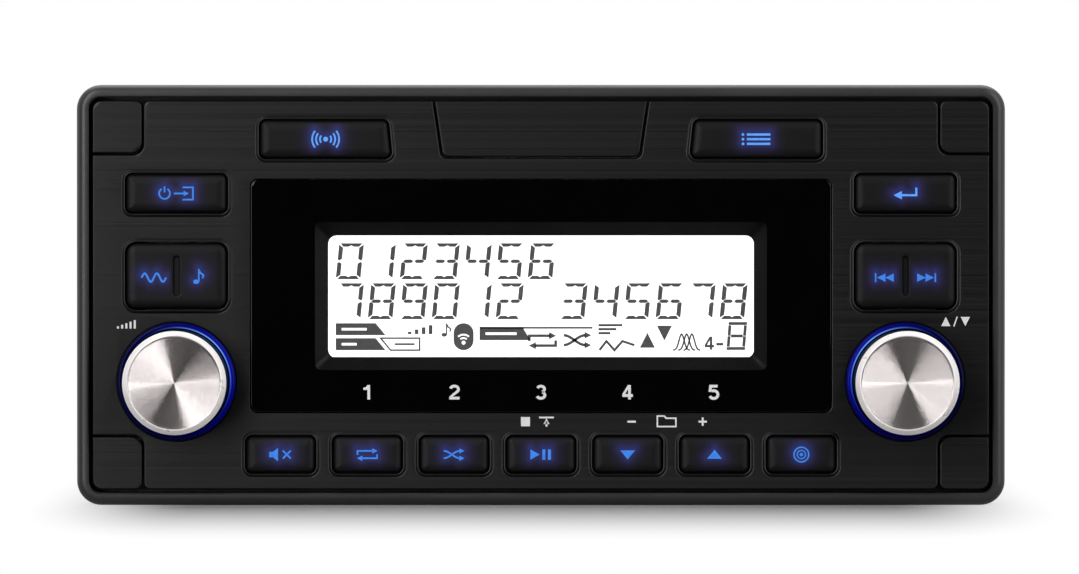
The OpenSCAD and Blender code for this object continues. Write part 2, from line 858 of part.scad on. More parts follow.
module top_key() {
  color([0.05, 0.05, 0.06])
  translate([top_key_x, top_key_y, 0]) {
    key_body(top_key_w, top_key_h, lip_back) top_outline(0);
    plate(lip_back, lip_front) top_outline(key_gap + lip_w);
    plunger();
  }
}

module rocker() {
  color([0.05, 0.05, 0.06])
  difference() {
    union() {
      key_body(side_key_w, rocker_h, rocker_lip_back) rocker_outline(0);
      plate(rocker_lip_back, rocker_lip_front)
        square([side_key_w + 2 * (key_gap + lip_w), rocker_h - 2 * rocker_r], center = true);
      plate(rocker_plunger_end, rocker_lip_back) both(rocker_plunger_x, 0) circle(d = plunger_d);
      translate([0, 0, pivot_z]) rotate([90, 0, 0])
        cylinder(h = rocker_h + 2 * pin_l, d = pin_d, center = true);
    }
    plate(key_front - slot_t, key_front + cut) round_rect(slot_w, slot_l, slot_w / 2 - fit);
  }
}

module scan_key() { mirror([1, 0, 0]) top_key(); }

module menu_key() { top_key(); }

module source_key() { side_key(-1); }

module enter_key() { side_key(1); }

module mute_key() { row_key(0); }

module repeat_key() { row_key(1); }

module shuffle_key() { row_key(2); }

module play_key() { row_key(3); }

module down_key() { row_key(4); }

module up_key() { row_key(5); }

module sub_key() { row_key(6); }

module band_rocker() { translate([-column_x, rocker_y, 0]) rocker(); }

module track_rocker() { translate([column_x, rocker_y, 0]) rocker(); }

// Places of the plungers, and of the lamps beside them
module domes_at() {
  for (i = [0:row_keys - 1]) translate([row_x(i), row_y]) children();
  both(column_x, side_key_y) children();
  both(column_x - rocker_plunger_x, rocker_y) children();
  both(column_x + rocker_plunger_x, rocker_y) children();
  both(top_key_x, top_key_y) children();
}

module lamps_at() {
  for (i = [0:row_keys - 1]) translate([row_x(i), row_y]) both(lamp_x, 0) children();
  for (s = [-1, 1]) {
    translate([s * column_x, side_key_y]) both(lamp_x, 0) children();
    translate([s * column_x, rocker_y]) both(lamp_x / 2, 0) children();
    translate([s * top_key_x, top_key_y]) both(lamp_x, 0) children();
    translate([s * column_x, knob_y]) corners(ring_lamp_x, ring_lamp_y) children();
  }
}

module lamp_outline(grow) { square([lamp_w + 2 * grow, lamp_h + 2 * grow], center = true); }

module keypad_mat() {
  color([0.55, 0.56, 0.58]) {
    plate(board_front, board_front + mat_t) difference() {
      round_rect(board_w - 2 * lay, board_h - 2 * lay, collar_r - board_gap);
      translate([0, display_y]) square([holder_w + 2 * lay, holder_h + 2 * lay], center = true);
      both(column_x, knob_y) square([encoder_w + 2 * lay, encoder_h + 2 * lay], center = true);
      board_boss_at() circle(d = boss_d + 2 * lay);
      lamps_at() lamp_outline(lamp_gap);
    }
    plate(board_front + mat_t, dome_top) domes_at() circle(d = plunger_d);
  }
}

module control_board() {
  color([0.05, 0.3, 0.12])
  plate(board_back, board_front) difference() {
    round_rect(board_w, board_h, collar_r - board_gap);
    board_boss_at() circle(d = pilot_d);
  }
}

module key_lamps() {
  color([0.8, 0.85, 1]) plate(board_front, board_front + lamp_t) lamps_at() lamp_outline(0);
}

module mounting_gasket() {
  color([0.15, 0.15, 0.15])
  plate(0, gasket_t) difference() {
    round_rect(face_w - 2 * gasket_inset, face_h - 2 * gasket_inset, face_corner_r - gasket_inset);
    round_rect(collar_w + 2 * gasket_fit, collar_h + 2 * gasket_fit, collar_r + gasket_fit);
    corners(cap_x, cap_y) circle(d = screw_hole_d);
  }
}

module panel_screws() {
  color([0.6, 0.6, 0.62])
  for (p = panel_boss, s = [-1, 1])
    translate([s * p[0], p[1], gasket_t + head_bore_t]) mirror([0, 0, 1])
      screw(panel_head_d, head_t, edge_pilot_d - screw_fit, flange_t - head_bore_t + screw_bite - lay);
}

module board_screws() {
  color([0.6, 0.6, 0.62])
  for (p = board_boss, s = [-1, 1])
    translate([s * p[0], p[1], board_back]) mirror([0, 0, 1])
      screw(head_d, head_t, screw_d, board_t + screw_bite - lay);
}

module chassis_tray() {
  color([0.2, 0.2, 0.21])
  difference() {
    union() {
      box([-half_w, -half_h, tray_back], [half_w, -half_h + sheet_t, tray_front]);
      for (s = [0, 1]) mirror([s, 0, 0]) {
        box([half_w - sheet_t, -half_h, tray_back], [half_w, half_h - sheet_t - lay, tray_front]);
        box([half_w - flange_reach, -half_h, tray_back],
          [half_w, half_h - sheet_t - lay, tray_back + sheet_t]);
      }
      box([-half_w, -half_h, tray_back], [half_w, -half_h + flange_reach, tray_back + sheet_t]);
    }
    for (s = [0, 1]) mirror([s, 0, 0]) {
      for (t = [-1, 1])
        rod_x(half_w - sheet_t - cut, half_w + cut, t * collar_screw_y, collar_screw_z, sheet_screw_d);
      for (f = cover_screw_z)
        rod_x(half_w - sheet_t - cut, half_w + cut, side_screw_y, level(f), sheet_screw_d);
    }
    plate(tray_back - cut, tray_back + sheet_t + cut)
      for (p = concat(sink_screws, plate_screws)) translate(p) circle(d = sheet_screw_d);
  }
}

module top_cover() {
  color([0.2, 0.2, 0.21])
  difference() {
    union() {
      box([-half_w, half_h - sheet_t, tray_back], [half_w, half_h, tray_front]);
      for (s = [0, 1]) mirror([s, 0, 0]) {
        box([half_w - cut, half_h - sheet_t, tray_back],
          [half_w + lip_gap + sheet_t, half_h, -cover_step]);
        box([half_w + lip_gap, half_h - lip_drop, tray_back],
          [half_w + lip_gap + sheet_t, half_h, -cover_step]);
      }
    }
    for (s = [0, 1], f = cover_screw_z) mirror([s, 0, 0])
      rod_x(half_w - cut, half_w + lip_gap + sheet_t + cut, side_screw_y, level(f), sheet_screw_d);
  }
}

module heat_sink() {
  color([0.12, 0.12, 0.13])
  difference() {
    union() {
      box([-half_w, -half_h, sink_back], [sink_end, half_h, tray_back]);
      for (i = [0:fin_count - 1])
        box([fin_low + i * fin_pitch, fin_margin - half_h, sink_back - fin_d],
          [fin_low + i * fin_pitch + fin_t, half_h - fin_margin, sink_back]);
    }
    plate(sink_back - cut, tray_back + cut)
      for (p = sink_screws) translate(p) circle(d = sheet_screw_d);
    plate(sink_back - fin_d - cut, sink_back)
      for (p = sink_screws) translate(p) circle(d = sheet_head_d + 2 * lay);
  }
}

module rear_plate() {
  color([0.2, 0.2, 0.21])
  plate(plate_back, tray_back) difference() {
    translate([sink_end + seam, -half_h]) square([half_w - sink_end - seam, chassis_h]);
    translate([harness_x, harness_y]) circle(grommet_r + fit);
    translate([antenna_x, antenna_y]) circle(antenna_r + antenna_wall + fit);
    for (p = plate_screws) translate(p) circle(d = sheet_screw_d);
  }
}

module side_screw(x, y, z, l) {
  translate([x, y, z]) rotate([0, 90, 0])
    screw(sheet_head_d, sheet_head_t, sheet_screw_d - 2 * fit, l);
}

module rear_screw(p, z, l) {
  translate([p[0], p[1], z]) mirror([0, 0, 1])
    screw(sheet_head_d, sheet_head_t, sheet_screw_d - 2 * fit, l);
}

module chassis_screws() {
  color([0.5, 0.5, 0.52]) {
    for (s = [0, 1]) mirror([s, 0, 0]) {
      for (t = [-1, 1])
        side_screw(collar_w / 2 - collar_head_t, t * collar_screw_y, collar_screw_z, sheet_screw_l);
      for (f = cover_screw_z)
        side_screw(half_w + lip_gap + sheet_t, side_screw_y, level(f), sheet_screw_l);
    }
    for (p = sink_screws) rear_screw(p, sink_back, sink_t + sheet_screw_l / 2);
    for (p = plate_screws) rear_screw(p, plate_back, plate_t + sheet_screw_l / 2);
  }
}

module main_board() {
  color([0.05, 0.3, 0.12])
  box([-main_x, main_low, main_back], [main_x, main_top, main_front]);
}

module standoff() { rotate([-90, 0, 0]) cylinder(h = main_low + half_h - sheet_t, d = standoff_d); }

module board_standoffs() {
  color([0.75, 0.65, 0.3])
  for (s = [-1, 1], z = [main_back + standoff_in, main_front - standoff_in])
    translate([s * (main_x - standoff_in), -half_h + sheet_t, z]) standoff();
}

module capacitors() {
  color([0.1, 0.12, 0.3])
  for (c = cap_rows)
    translate([c[0], main_top, cap_line]) rotate([-90, 0, 0]) cylinder(h = c[2], d = c[1]);
}

module power_choke() {
  color([0.25, 0.25, 0.26])
  translate([choke_x - choke_w / 2, main_top, choke_z - choke_w / 2]) cube([choke_w, choke_h, choke_w]);
}

module tuner_can() {
  color([0.7, 0.7, 0.72])
  translate([tuner_x - tuner_w / 2, main_top, tuner_z - tuner_d / 2]) cube([tuner_w, tuner_h, tuner_d]);
}

module wireless_module() {
  color([0.05, 0.15, 0.35])
  translate([radio_x - radio_w / 2, main_top, radio_z - radio_d / 2]) cube([radio_w, radio_h, radio_d]);
}

module amplifier_chip() {
  color([0.08, 0.08, 0.08]) {
    translate([chip_x - chip_w / 2, chip_low, tray_back]) cube([chip_w, chip_h, chip_t]);
    for (i = [0:chip_pins - 1])
      translate([chip_x + (i - (chip_pins - 1) / 2) * chip_pitch - pin_w / 2, main_top, main_back + pin_w])
        cube([pin_w, chip_low - main_top, pin_w]);
  }
}

module chip_clamp() {
  color([0.6, 0.6, 0.62]) {
    translate([chip_x - clamp_w / 2, chip_low + chip_h / 2 - clamp_h / 2, tray_back + chip_t])
      cube([clamp_w, clamp_h, clamp_t]);
    for (s = [-1, 1])
      translate([chip_x + s * (chip_w / 2 + clamp_w / 2) / 2, chip_low + chip_h / 2, tray_back])
        cylinder(h = chip_t, d = standoff_d);
  }
}

module ribbon_sockets() {
  color([0.85, 0.83, 0.75]) {
    box([-socket_w / 2, ribbon_y - socket_h / 2, board_back - socket_t],
      [socket_w / 2, ribbon_y + socket_h / 2, board_back]);
    box([-socket_w / 2, main_top, ribbon_z - socket_h / 2],
      [socket_w / 2, main_top + socket_t, ribbon_z + socket_h / 2]);
  }
}

// The ribbon runs straight back from the front socket, bends, and drops to the main board
module ribbon_cable() {
  color([0.9, 0.9, 0.88])
  translate([-ribbon_w / 2, 0, 0]) rotate([90, 0, 90]) linear_extrude(ribbon_w) {
    translate([ribbon_y - ribbon_t / 2, ribbon_z + ribbon_bend])
      square([ribbon_t, board_back - socket_t - ribbon_z - ribbon_bend]);
    translate([main_top + socket_t, ribbon_z - ribbon_t / 2])
      square([ribbon_y - ribbon_bend - main_top - socket_t, ribbon_t]);
    translate([ribbon_y - ribbon_bend, ribbon_z + ribbon_bend]) intersection() {
      difference() {
        circle(ribbon_bend + ribbon_t / 2);
        circle(ribbon_bend - ribbon_t / 2);
      }
      translate([0, -2 * ribbon_bend]) square(2 * ribbon_bend);
    }
  }
}

module harness_grommet() {
  color([0.05, 0.05, 0.05])
  translate([harness_x, harness_y, 0]) difference() {
    union() {
      plate(plate_back, tray_back) circle(grommet_r);
      plate(tray_back, tray_back + grommet_in_t) circle(grommet_flange_r);
      plate(plate_back - grommet_flange_t, plate_back) circle(grommet_flange_r);
      plate(grommet_end, plate_back - grommet_flange_t) circle(grommet_neck_r);
    }
    plate(grommet_end - cut, tray_back + grommet_in_t + cut) circle(d = harness_d);
  }
}

module antenna_socket() {
  color([0.7, 0.7, 0.72])
  translate([antenna_x, antenna_y, 0]) difference() {
    union() {
      plate(antenna_end, antenna_low) circle(antenna_r + antenna_wall);
      plate(plate_back - antenna_flange_t, plate_back) circle(antenna_flange_r);
    }
    plate(antenna_end - cut, antenna_floor) circle(antenna_r);
  }
}

module fuse_holder() {
  color([0.1, 0.1, 0.1])
  translate([fuse_x, fuse_y, 0]) difference() {
    plate(plate_back - fuse_holder_d, plate_back)
      square([fuse_w + 2 * fuse_wall, fuse_h + 2 * fuse_wall], center = true);
    plate(plate_back - fuse_holder_d - cut, plate_back - fuse_floor_t)
      square([fuse_w + 2 * fit, fuse_h + 2 * fit], center = true);
  }
}

module blade_fuse() {
  color([0.85, 0.45, 0.05])
  translate([fuse_x, fuse_y, 0]) {
    plate(plate_back - fuse_holder_d - fuse_grip, plate_back - fuse_floor_t - blade_l)
      square([fuse_w, fuse_h], center = true);
    plate(plate_back - fuse_floor_t - blade_l, plate_back - fuse_floor_t)
      both(blade_x, 0) square([blade_w, blade_t], center = true);
  }
}

stand() front_housing();
stand() front_panel();
stand() name_tab();
stand() display_lens();
stand() lens_film();
stand() display_frame();
stand() lcd_glass();
stand() lcd_backlight();
stand() light_ring_left();
stand() light_ring_right();
stand() keypad_mat();
stand() control_board();
stand() key_lamps();
stand() encoder_left();
stand() encoder_right();
stand() mounting_gasket();
stand() panel_screws();
stand() board_screws();
stand() chassis_tray();
stand() top_cover();
stand() heat_sink();
stand() rear_plate();
stand() chassis_screws();
stand() main_board();
stand() board_standoffs();
stand() amplifier_chip();
stand() chip_clamp();
stand() capacitors();
stand() power_choke();
stand() tuner_can();
stand() wireless_module();
stand() ribbon_cable();
stand() ribbon_sockets();
stand() harness_grommet();
stand() antenna_socket();
stand() fuse_holder();
stand() blade_fuse();
stand() scan_key();
stand() menu_key();
stand() source_key();
stand() enter_key();
stand() mute_key();
stand() repeat_key();
stand() shuffle_key();
stand() play_key();
stand() down_key();
stand() up_key();
stand() sub_key();
stand() band_rocker();
stand() track_rocker();
stand() volume_knob();
stand() volume_core();
stand() volume_shaft();
stand() tuning_knob();
stand() tuning_core();
stand() tuning_shaft();
stand() corner_cap_tl();
stand() corner_cap_tr();
stand() corner_cap_bl();
stand() corner_cap_br();
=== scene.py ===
"""Looks of the marine receiver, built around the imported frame.

Pieces are drawn in face coordinates in millimetres: x right, h up the face, d out of it.
"""

import math

import bpy
import numpy as np
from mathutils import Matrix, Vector
from mathutils.geometry import delaunay_2d_cdt

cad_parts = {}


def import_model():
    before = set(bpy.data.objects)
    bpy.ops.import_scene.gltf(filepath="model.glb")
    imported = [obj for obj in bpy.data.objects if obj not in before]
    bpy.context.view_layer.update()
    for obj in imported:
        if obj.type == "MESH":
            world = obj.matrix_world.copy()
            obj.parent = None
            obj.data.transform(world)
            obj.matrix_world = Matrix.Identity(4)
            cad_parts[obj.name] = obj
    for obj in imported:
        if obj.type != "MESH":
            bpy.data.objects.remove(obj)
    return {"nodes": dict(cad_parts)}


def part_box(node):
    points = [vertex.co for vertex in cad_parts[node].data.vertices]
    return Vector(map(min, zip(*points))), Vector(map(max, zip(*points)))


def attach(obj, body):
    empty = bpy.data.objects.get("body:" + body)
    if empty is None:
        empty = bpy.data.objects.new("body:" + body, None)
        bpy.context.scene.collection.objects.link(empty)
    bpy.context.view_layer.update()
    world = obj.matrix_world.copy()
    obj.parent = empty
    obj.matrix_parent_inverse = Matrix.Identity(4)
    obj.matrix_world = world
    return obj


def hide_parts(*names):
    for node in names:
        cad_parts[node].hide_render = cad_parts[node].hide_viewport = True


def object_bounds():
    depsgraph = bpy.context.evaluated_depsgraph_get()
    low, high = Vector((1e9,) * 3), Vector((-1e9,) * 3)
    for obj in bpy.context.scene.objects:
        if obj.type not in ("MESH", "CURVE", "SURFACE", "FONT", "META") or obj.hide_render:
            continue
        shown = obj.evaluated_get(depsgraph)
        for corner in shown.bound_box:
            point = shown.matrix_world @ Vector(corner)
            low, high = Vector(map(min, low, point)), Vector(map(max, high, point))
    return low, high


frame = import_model()
CAD_BOX = [list(v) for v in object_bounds()]

MM = 0.001
IMAGE_W, IMAGE_H = 1079, 574


def place(node):
    """Centre (x, h) and depth range of a CAD node, in face millimetres."""
    lo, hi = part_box(node)
    mid = (lo + hi) / 2 / MM
    return mid.x, mid.z, -hi.y / MM, -lo.y / MM


# Outlines


class Outline:
    """A closed polygon, anticlockwise, with rounded corners, which can be inset evenly."""

    def __init__(self, corners, radii, seg=6, step=None):
        self.c = np.array(corners, float)
        self.r = np.broadcast_to(np.array(radii, float), len(self.c))
        self.seg = seg
        edge = np.roll(self.c, -1, 0) - self.c
        length = np.hypot(edge[:, 0], edge[:, 1])
        self.div = [max(1, round(n / step)) if step else 1 for n in length]
        self.dir = edge / length[:, None]
        back = np.roll(self.dir, 1, 0)
        self.turn = np.sign(back[:, 0] * self.dir[:, 1] - back[:, 1] * self.dir[:, 0])

    def at(self, inset):
        inward = np.stack([-self.dir[:, 1], self.dir[:, 0]], 1)
        arcs = []
        for i, corner in enumerate(self.c):
            pair = inward[[i - 1, i]]
            p = np.linalg.solve(pair, pair @ corner + inset)
            r = max(self.r[i] - inset * self.turn[i], 0.02)
            u, v = -self.dir[i - 1], self.dir[i]
            half = math.acos(np.clip(u @ v, -1, 1)) / 2
            mid = p + (u + v) / np.hypot(*(u + v)) * r / math.sin(half)
            a, b = p + u * r / math.tan(half) - mid, p + v * r / math.tan(half) - mid
            start = math.atan2(a[1], a[0])
            sweep = (math.atan2(b[1], b[0]) - start + math.pi) % (2 * math.pi) - math.pi
            turn = start + sweep * np.linspace(0, 1, self.seg + 1)
            arcs.append(mid + r * np.stack([np.cos(turn), np.sin(turn)], 1))
        points = []
        for i, arc in enumerate(arcs):
            ahead = arcs[(i + 1) % len(arcs)][0]
            share = np.linspace(0, 1, self.div[i] + 1)[1:-1, None]
            points += [arc, arc[-1] + (ahead - arc[-1]) * share]
        return np.concatenate(points)


def rect(x, h, w, t, r, seg=6, step=None):
    w, t = w / 2, t / 2
    corners = [(x - w, h - t), (x + w, h - t), (x + w, h + t), (x - w, h + t)]
    return Outline(corners, r, seg, step)


def circle(x, h, r, seg=96):
    turn = np.linspace(0, 2 * math.pi, seg, endpoint=False)
    return np.stack([x + r * np.cos(turn), h + r * np.sin(turn)], 1)


# Meshes


def inside(points, at, edges):
    """Which points lie inside the outline that the edges draw, by the even-odd rule."""
    a, b = at[edges[:, 0]], at[edges[:, 1]]
    x, h = points[:, :1], points[:, 1:2]
    crosses = (a[:, 1] > h) != (b[:, 1] > h)
    rise = np.where(b[:, 1] == a[:, 1], 1, b[:, 1] - a[:, 1])
    reach = a[:, 0] + (h - a[:, 1]) / rise * (b[:, 0] - a[:, 0])
    return np.sum(crosses & (x < reach), 1) % 2 == 1


class Build:
    """Collects rings of points and the faces between them. Rings run anticlockwise."""

    def __init__(self):
        self.v, self.f, self.m = [], [], []

    def ring(self, points, d):
        start = len(self.v)
        self.v += [(float(x), float(h), float(d)) for x, h in points]
        return list(range(start, len(self.v)))

    def face(self, ids, mat):
        self.f.append(tuple(ids))
        self.m.append(mat)

    def bridge(self, a, b, mat=0):
        n = len(a)
        for i in range(n):
            j = (i + 1) % n
            self.face((a[i], a[j], b[j], b[i]), mat)

    def chain(self, rings, mat=0):
        for a, b in zip(rings, rings[1:]):
            self.bridge(a, b, mat)

    def rise(self, line, profile, d, mat=0):
        """Joined rings of an outline, each inset and dropped below d as the profile says."""
        rings = [self.ring(line.at(inset), d - drop) for inset, drop in profile]
        self.chain(rings, mat)
        return rings

    def fill(self, rings, mat=0, front=True, step=None):
        """Closes the first ring, less the others, with points every step inside it."""
        flat = [i for ring in rings for i in ring]
        edges, start = [], 0
        for ring in rings:
            n = len(ring)
            edges += [(start + i, start + (i + 1) % n) for i in range(n)]
            start += n
        at = np.array([self.v[i][:2] for i in flat])
        ends = np.array(edges)
        if step:
            lo, hi = at.min(0), at.max(0)
            grid = np.meshgrid(*(np.arange(a + step / 2, b, step) for a, b in zip(lo, hi)))
            grid = np.stack([g.ravel() for g in grid], 1)
            gap = np.min(np.hypot(*(grid[:, None] - at[None]).transpose(2, 0, 1)), 1)
            grid = grid[inside(grid, at, ends) & (gap > step / 2)]
            flat += self.ring(grid, self.v[flat[0]][2])
            at = np.concatenate([at, grid])
        found = delaunay_2d_cdt([Vector(p) for p in at], edges, [], 0, 1e-7)
        points, tris, source = found[0], found[2], found[3]
        mids = np.array([np.mean([points[i] for i in tri], 0) for tri in tris])
        for tri, keep in zip(tris, inside(mids, at, ends)):
            if keep:
                ids = [flat[source[i][0]] for i in tri]
                self.face(ids if front else ids[::-1], mat)

    def fan(self, ring, d, mat=0, front=True):
        mid = np.mean([self.v[i][:2] for i in ring], 0)
        tip = self.ring([mid], d)[0]
        for a, b in zip(ring, ring[1:] + ring[:1]):
            self.face((a, b, tip) if front else (b, a, tip), mat)

    def lathe(self, x, h, profile, mats=None, seg=96):
        """Turns (radius, depth) points; a radius of nought closes the end."""
        rings = []
        for r, d in profile:
            rings.append(self.ring(circle(x, h, r, seg), d) if r else None)
        for i in range(len(profile) - 1):
            mat = mats[i] if mats else 0
            if rings[i] is None:
                self.fan(rings[i + 1], profile[i][1], mat, front=False)
            elif rings[i + 1] is None:
                self.fan(rings[i], profile[i + 1][1], mat)
            else:
                self.bridge(rings[i], rings[i + 1], mat)

    def rod(self, x, h, r, d0, d1):
        self.lathe(x, h, [(0, d0), (r, d0), (r, d1), (0, d1)], seg=24)

    def prism(self, points, d0, d1, mat=0):
        points = np.asarray(points, float)
        ahead = np.roll(points, -1, 0)
        if np.sum(points[:, 0] * ahead[:, 1] - points[:, 1] * ahead[:, 0]) < 0:
            points = points[::-1]
        low, top = self.ring(points, d0), self.ring(points, d1)
        self.fill([low], mat, front=False)
        self.bridge(low, top, mat)
        self.fill([top], mat)

    def piece(self, name, mats, body, slot, replaces=(), angle=32, values=None):
        mesh = bpy.data.meshes.new(name)
        mesh.from_pydata([(x * MM, -d * MM, h * MM) for x, h, d in self.v], [], self.f)
        mesh.polygons.foreach_set("material_index", self.m)
        mesh.polygons.foreach_set("use_smooth", [True] * len(self.f))
        for mat in mats:
            mesh.materials.append(mat)
        for key, data in (values or {}).items():
            mesh.attributes.new(key, "FLOAT", "POINT").data.foreach_set("value", data)
        mesh.set_sharp_from_angle(angle=math.radians(angle))
        mesh.validate()
        obj = bpy.data.objects.new(name, mesh)
        bpy.context.scene.collection.objects.link(obj)
        smooth = obj.modifiers.new("even_shading", "WEIGHTED_NORMAL")
        smooth.keep_sharp = True
        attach(obj, body)
        if replaces:
            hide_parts(*replaces)


# Flat marks, each a list of polygons


def bar(x0, h0, x1, h1, w):
    run = np.array([x1 - x0, h1 - h0], float)
    side = np.array([-run[1], run[0]]) / np.hypot(*run) * w / 2
    a, b = np.array([x0, h0]), np.array([x1, h1])
    return [np.array([a - side, b - side, b + side, a + side])]


def path(points, w, closed=False):
    """A line of even width, mitred at its corners."""
    p = np.array(points, float)
    ahead, behind = np.roll(p, -1, 0) - p, p - np.roll(p, 1, 0)
    if not closed:
        ahead[-1], behind[0] = behind[-1], ahead[0]
    a = ahead / np.hypot(ahead[:, 0], ahead[:, 1])[:, None]
    b = behind / np.hypot(behind[:, 0], behind[:, 1])[:, None]
    bend = a + b
    bend /= np.hypot(bend[:, 0], bend[:, 1])[:, None]
    reach = w / 2 / np.clip(np.sum(bend * a, 1), 0.4, 1)
    side = np.stack([-bend[:, 1], bend[:, 0]], 1) * reach[:, None]
    left, right = p + side, p - side
    last = len(p) if closed else len(p) - 1
    return [
        np.array([right[i], right[(i + 1) % len(p)], left[(i + 1) % len(p)], left[i]])
        for i in range(last)
    ]


def arc(x, h, r, a0, a1, w, n=20):
    turn = np.radians(np.linspace(a0, a1, n))
    return path(np.stack([x + r * np.cos(turn), h + r * np.sin(turn)], 1), w)


def disc(x, h, r, squash=1.0, n=24):
    points = circle(0, 0, r, n)
    points[:, 1] *= squash
    return [points + (x, h)]


def loop(x, h, r, w):
    return path(circle(x, h, r, 40), w, closed=True)


def poly(*points):
    return [np.array(points, float)]


def moved(polys, x, h, scale=1.0):
    return [p * scale + (x, h) for p in polys]


def marks_piece(name, polys, d, rise, mat, body, slot, sink=0.02):
    """Marks that stand proud of a surface at d and sink a little into it."""
    b = Build()
    for p in polys:
        b.prism(p, d - sink, d + rise)
    b.piece(name, [mat], body, slot)


# Materials


class Nodes:
    """The nodes of a material or of the world."""

    def __init__(self, tree):
        self.tree = tree

    def node(self, kind, **settings):
        n = self.tree.nodes.new("ShaderNode" + kind)
        for key, value in settings.items():
            if hasattr(n, key):
                setattr(n, key, value)
            else:
                n.inputs[key.replace("_", " ")].default_value = value
        return n

    def link(self, a, b):
        self.tree.links.new(a, b)

    def feed(self, sockets, values):
        """Links each value to its socket, or sets it there where it is fixed."""
        for socket, value in zip(sockets, values):
            if isinstance(value, bpy.types.NodeSocket):
                self.link(value, socket)
            else:
                socket.default_value = value

    def math(self, kind, a, b):
        n = self.node("Math", operation=kind)
        self.feed(n.inputs, (a, b))
        return n.outputs["Value"]

    def vector(self, kind, *values):
        n = self.node("VectorMath", operation=kind)
        self.feed((n.inputs[0], n.inputs["Scale"]) if kind == "SCALE" else n.inputs, values)
        return n.outputs["Value" if kind == "LENGTH" else "Vector"]

    def remap(self, value, a, b, c=0.0, d=1.0, **settings):
        """Takes c to a and d to b."""
        n = self.node("MapRange", **settings)
        names = ("Value", "From Min", "From Max", "To Min", "To Max")
        self.feed([n.inputs[name] for name in names], (value, c, d, a, b))
        return n.outputs["Result"]

    def ramp(self, value, *stops):
        """Colours, or levels of grey, at places from 0 to 1."""
        n = self.node("ValToRGB")
        points = n.color_ramp.elements
        while len(points) < len(stops):
            points.new(0.5)
        for point, (at, colour) in zip(points, stops):
            point.position = at
            point.color = (*np.broadcast_to(colour, 3), 1)
        self.link(value, n.inputs["Fac"])
        return n.outputs["Color"]

    def mix(self, fac, a, b):
        n = self.node("MixShader")
        self.feed(n.inputs, (fac, a, b))
        return n.outputs["Shader"]


class Mat(Nodes):
    """A material with one Principled shader and the nodes that feed it."""

    def __init__(self, name, colour, rough, metal=0.0, **more):
        self.mat = bpy.data.materials.new(name)
        self.mat.use_nodes = True
        super().__init__(self.mat.node_tree)
        self.shader = self.tree.nodes["Principled BSDF"]
        self.set("Base Color", (*np.broadcast_to(colour, 3), 1))
        self.set("Roughness", rough)
        self.set("Metallic", metal)
        for key, value in more.items():
            self.set(key.replace("_", " "), value)

    def set(self, socket, value):
        self.shader.inputs[socket].default_value = value

    def into(self, socket, a):
        self.link(a, self.shader.inputs[socket])

    def value(self, name):
        """A value that the mesh holds at its points."""
        return self.node("Attribute", attribute_name=name).outputs["Fac"]

    def noise(self, scale, detail=3.0, rough=0.5):
        """Noise over object coordinates in millimetres, stretched by scale."""
        where = self.node("Mapping", Scale=np.broadcast_to(scale, 3) / MM)
        self.link(self.node("TexCoord").outputs["Object"], where.inputs["Vector"])
        n = self.node("TexNoise", Scale=1.0, Detail=detail, Roughness=rough)
        self.link(where.outputs["Vector"], n.inputs["Vector"])
        return n.outputs["Fac"]

    def bump(self, value, strength, depth):
        """depth in millimetres"""
        n = self.node("Bump", Strength=strength, Distance=depth * MM)
        self.link(value, n.inputs["Height"])
        self.into("Normal", n.outputs["Normal"])


def speckled(name, dark, light, rough, grain, depth, spread=0.1, **more):
    """A moulded or coated surface: fine grain in colour, roughness and bump."""
    m = Mat(name, dark, rough, **more)
    fine = m.noise(grain, 4.0, 0.6)
    broad = m.noise(0.04, 2.0)
    both = m.math("ADD", m.math("MULTIPLY", fine, 0.6), m.math("MULTIPLY", broad, 0.4))
    m.into("Base Color", m.ramp(both, (0.3, dark), (0.7, light)))
    m.into("Roughness", m.remap(both, rough - spread, rough + spread, 0.3, 0.7))
    m.bump(fine, 0.5, depth)
    return m.mat


def brushed_panel():
    m = Mat("panel_brushed", (0.003, 0.003, 0.0032), 0.4, Specular_IOR_Level=0.4)
    hair = m.noise((0.0016, 1, 3.8), 2.0, 0.7)
    patch = m.remap(m.noise((0.014, 1, 0.4), 3.0, 0.6), 0.4, 1.6, 0.35, 0.65)
    fac = m.math("ADD", m.math("MULTIPLY", m.math("SUBTRACT", hair, 0.5), patch), 0.5)
    dark, mid, pale = (0.0011, 0.0011, 0.0012), (0.0017, 0.0017, 0.0019), (0.0021, 0.0021, 0.0024)
    m.into("Base Color", m.ramp(fac, (0.34, dark), (0.45, mid), (0.7, pale)))
    m.into("Roughness", m.remap(fac, 0.34, 0.43, 0.3, 0.7))
    m.bump(fac, 0.35, 0.02)
    return m.mat


def key_plastic():
    m = Mat("key_black", (0.003, 0.003, 0.0035), 0.5, Specular_IOR_Level=0.2)
    fine = m.noise(3.0, 3.0, 0.6)
    dark, pale = (0.0016, 0.0016, 0.0020), (0.003, 0.003, 0.0036)
    m.into("Base Color", m.ramp(fine, (0.3, dark), (0.7, pale)))
    m.into("Roughness", m.remap(fine, 0.44, 0.56, 0.3, 0.7))
    m.bump(fine, 0.2, 0.008)
    faint, blue, bright = (0.0028, 0.0014, 0.0075), (0.0085, 0.0070, 0.038), (0.016, 0.020, 0.115)
    glow = m.ramp(m.value("glow"), (0.03, 0), (0.25, faint), (0.6, blue), (1.0, bright))
    m.into("Emission Color", glow)
    m.set("Emission Strength", 1.0)
    return m.mat


def lit(name, colour, strength, dim=0.75):
    """A lit mark: it glows, a little unevenly."""
    m = Mat(name, [c * 0.4 for c in colour], 0.4, Specular_IOR_Level=0.1)
    uneven = m.noise(0.9, 2.0)
    low = [c * dim for c in colour]
    m.into("Emission Color", m.ramp(uneven, (0.3, low), (0.65, colour)))
    m.set("Emission Strength", strength)
    return m.mat


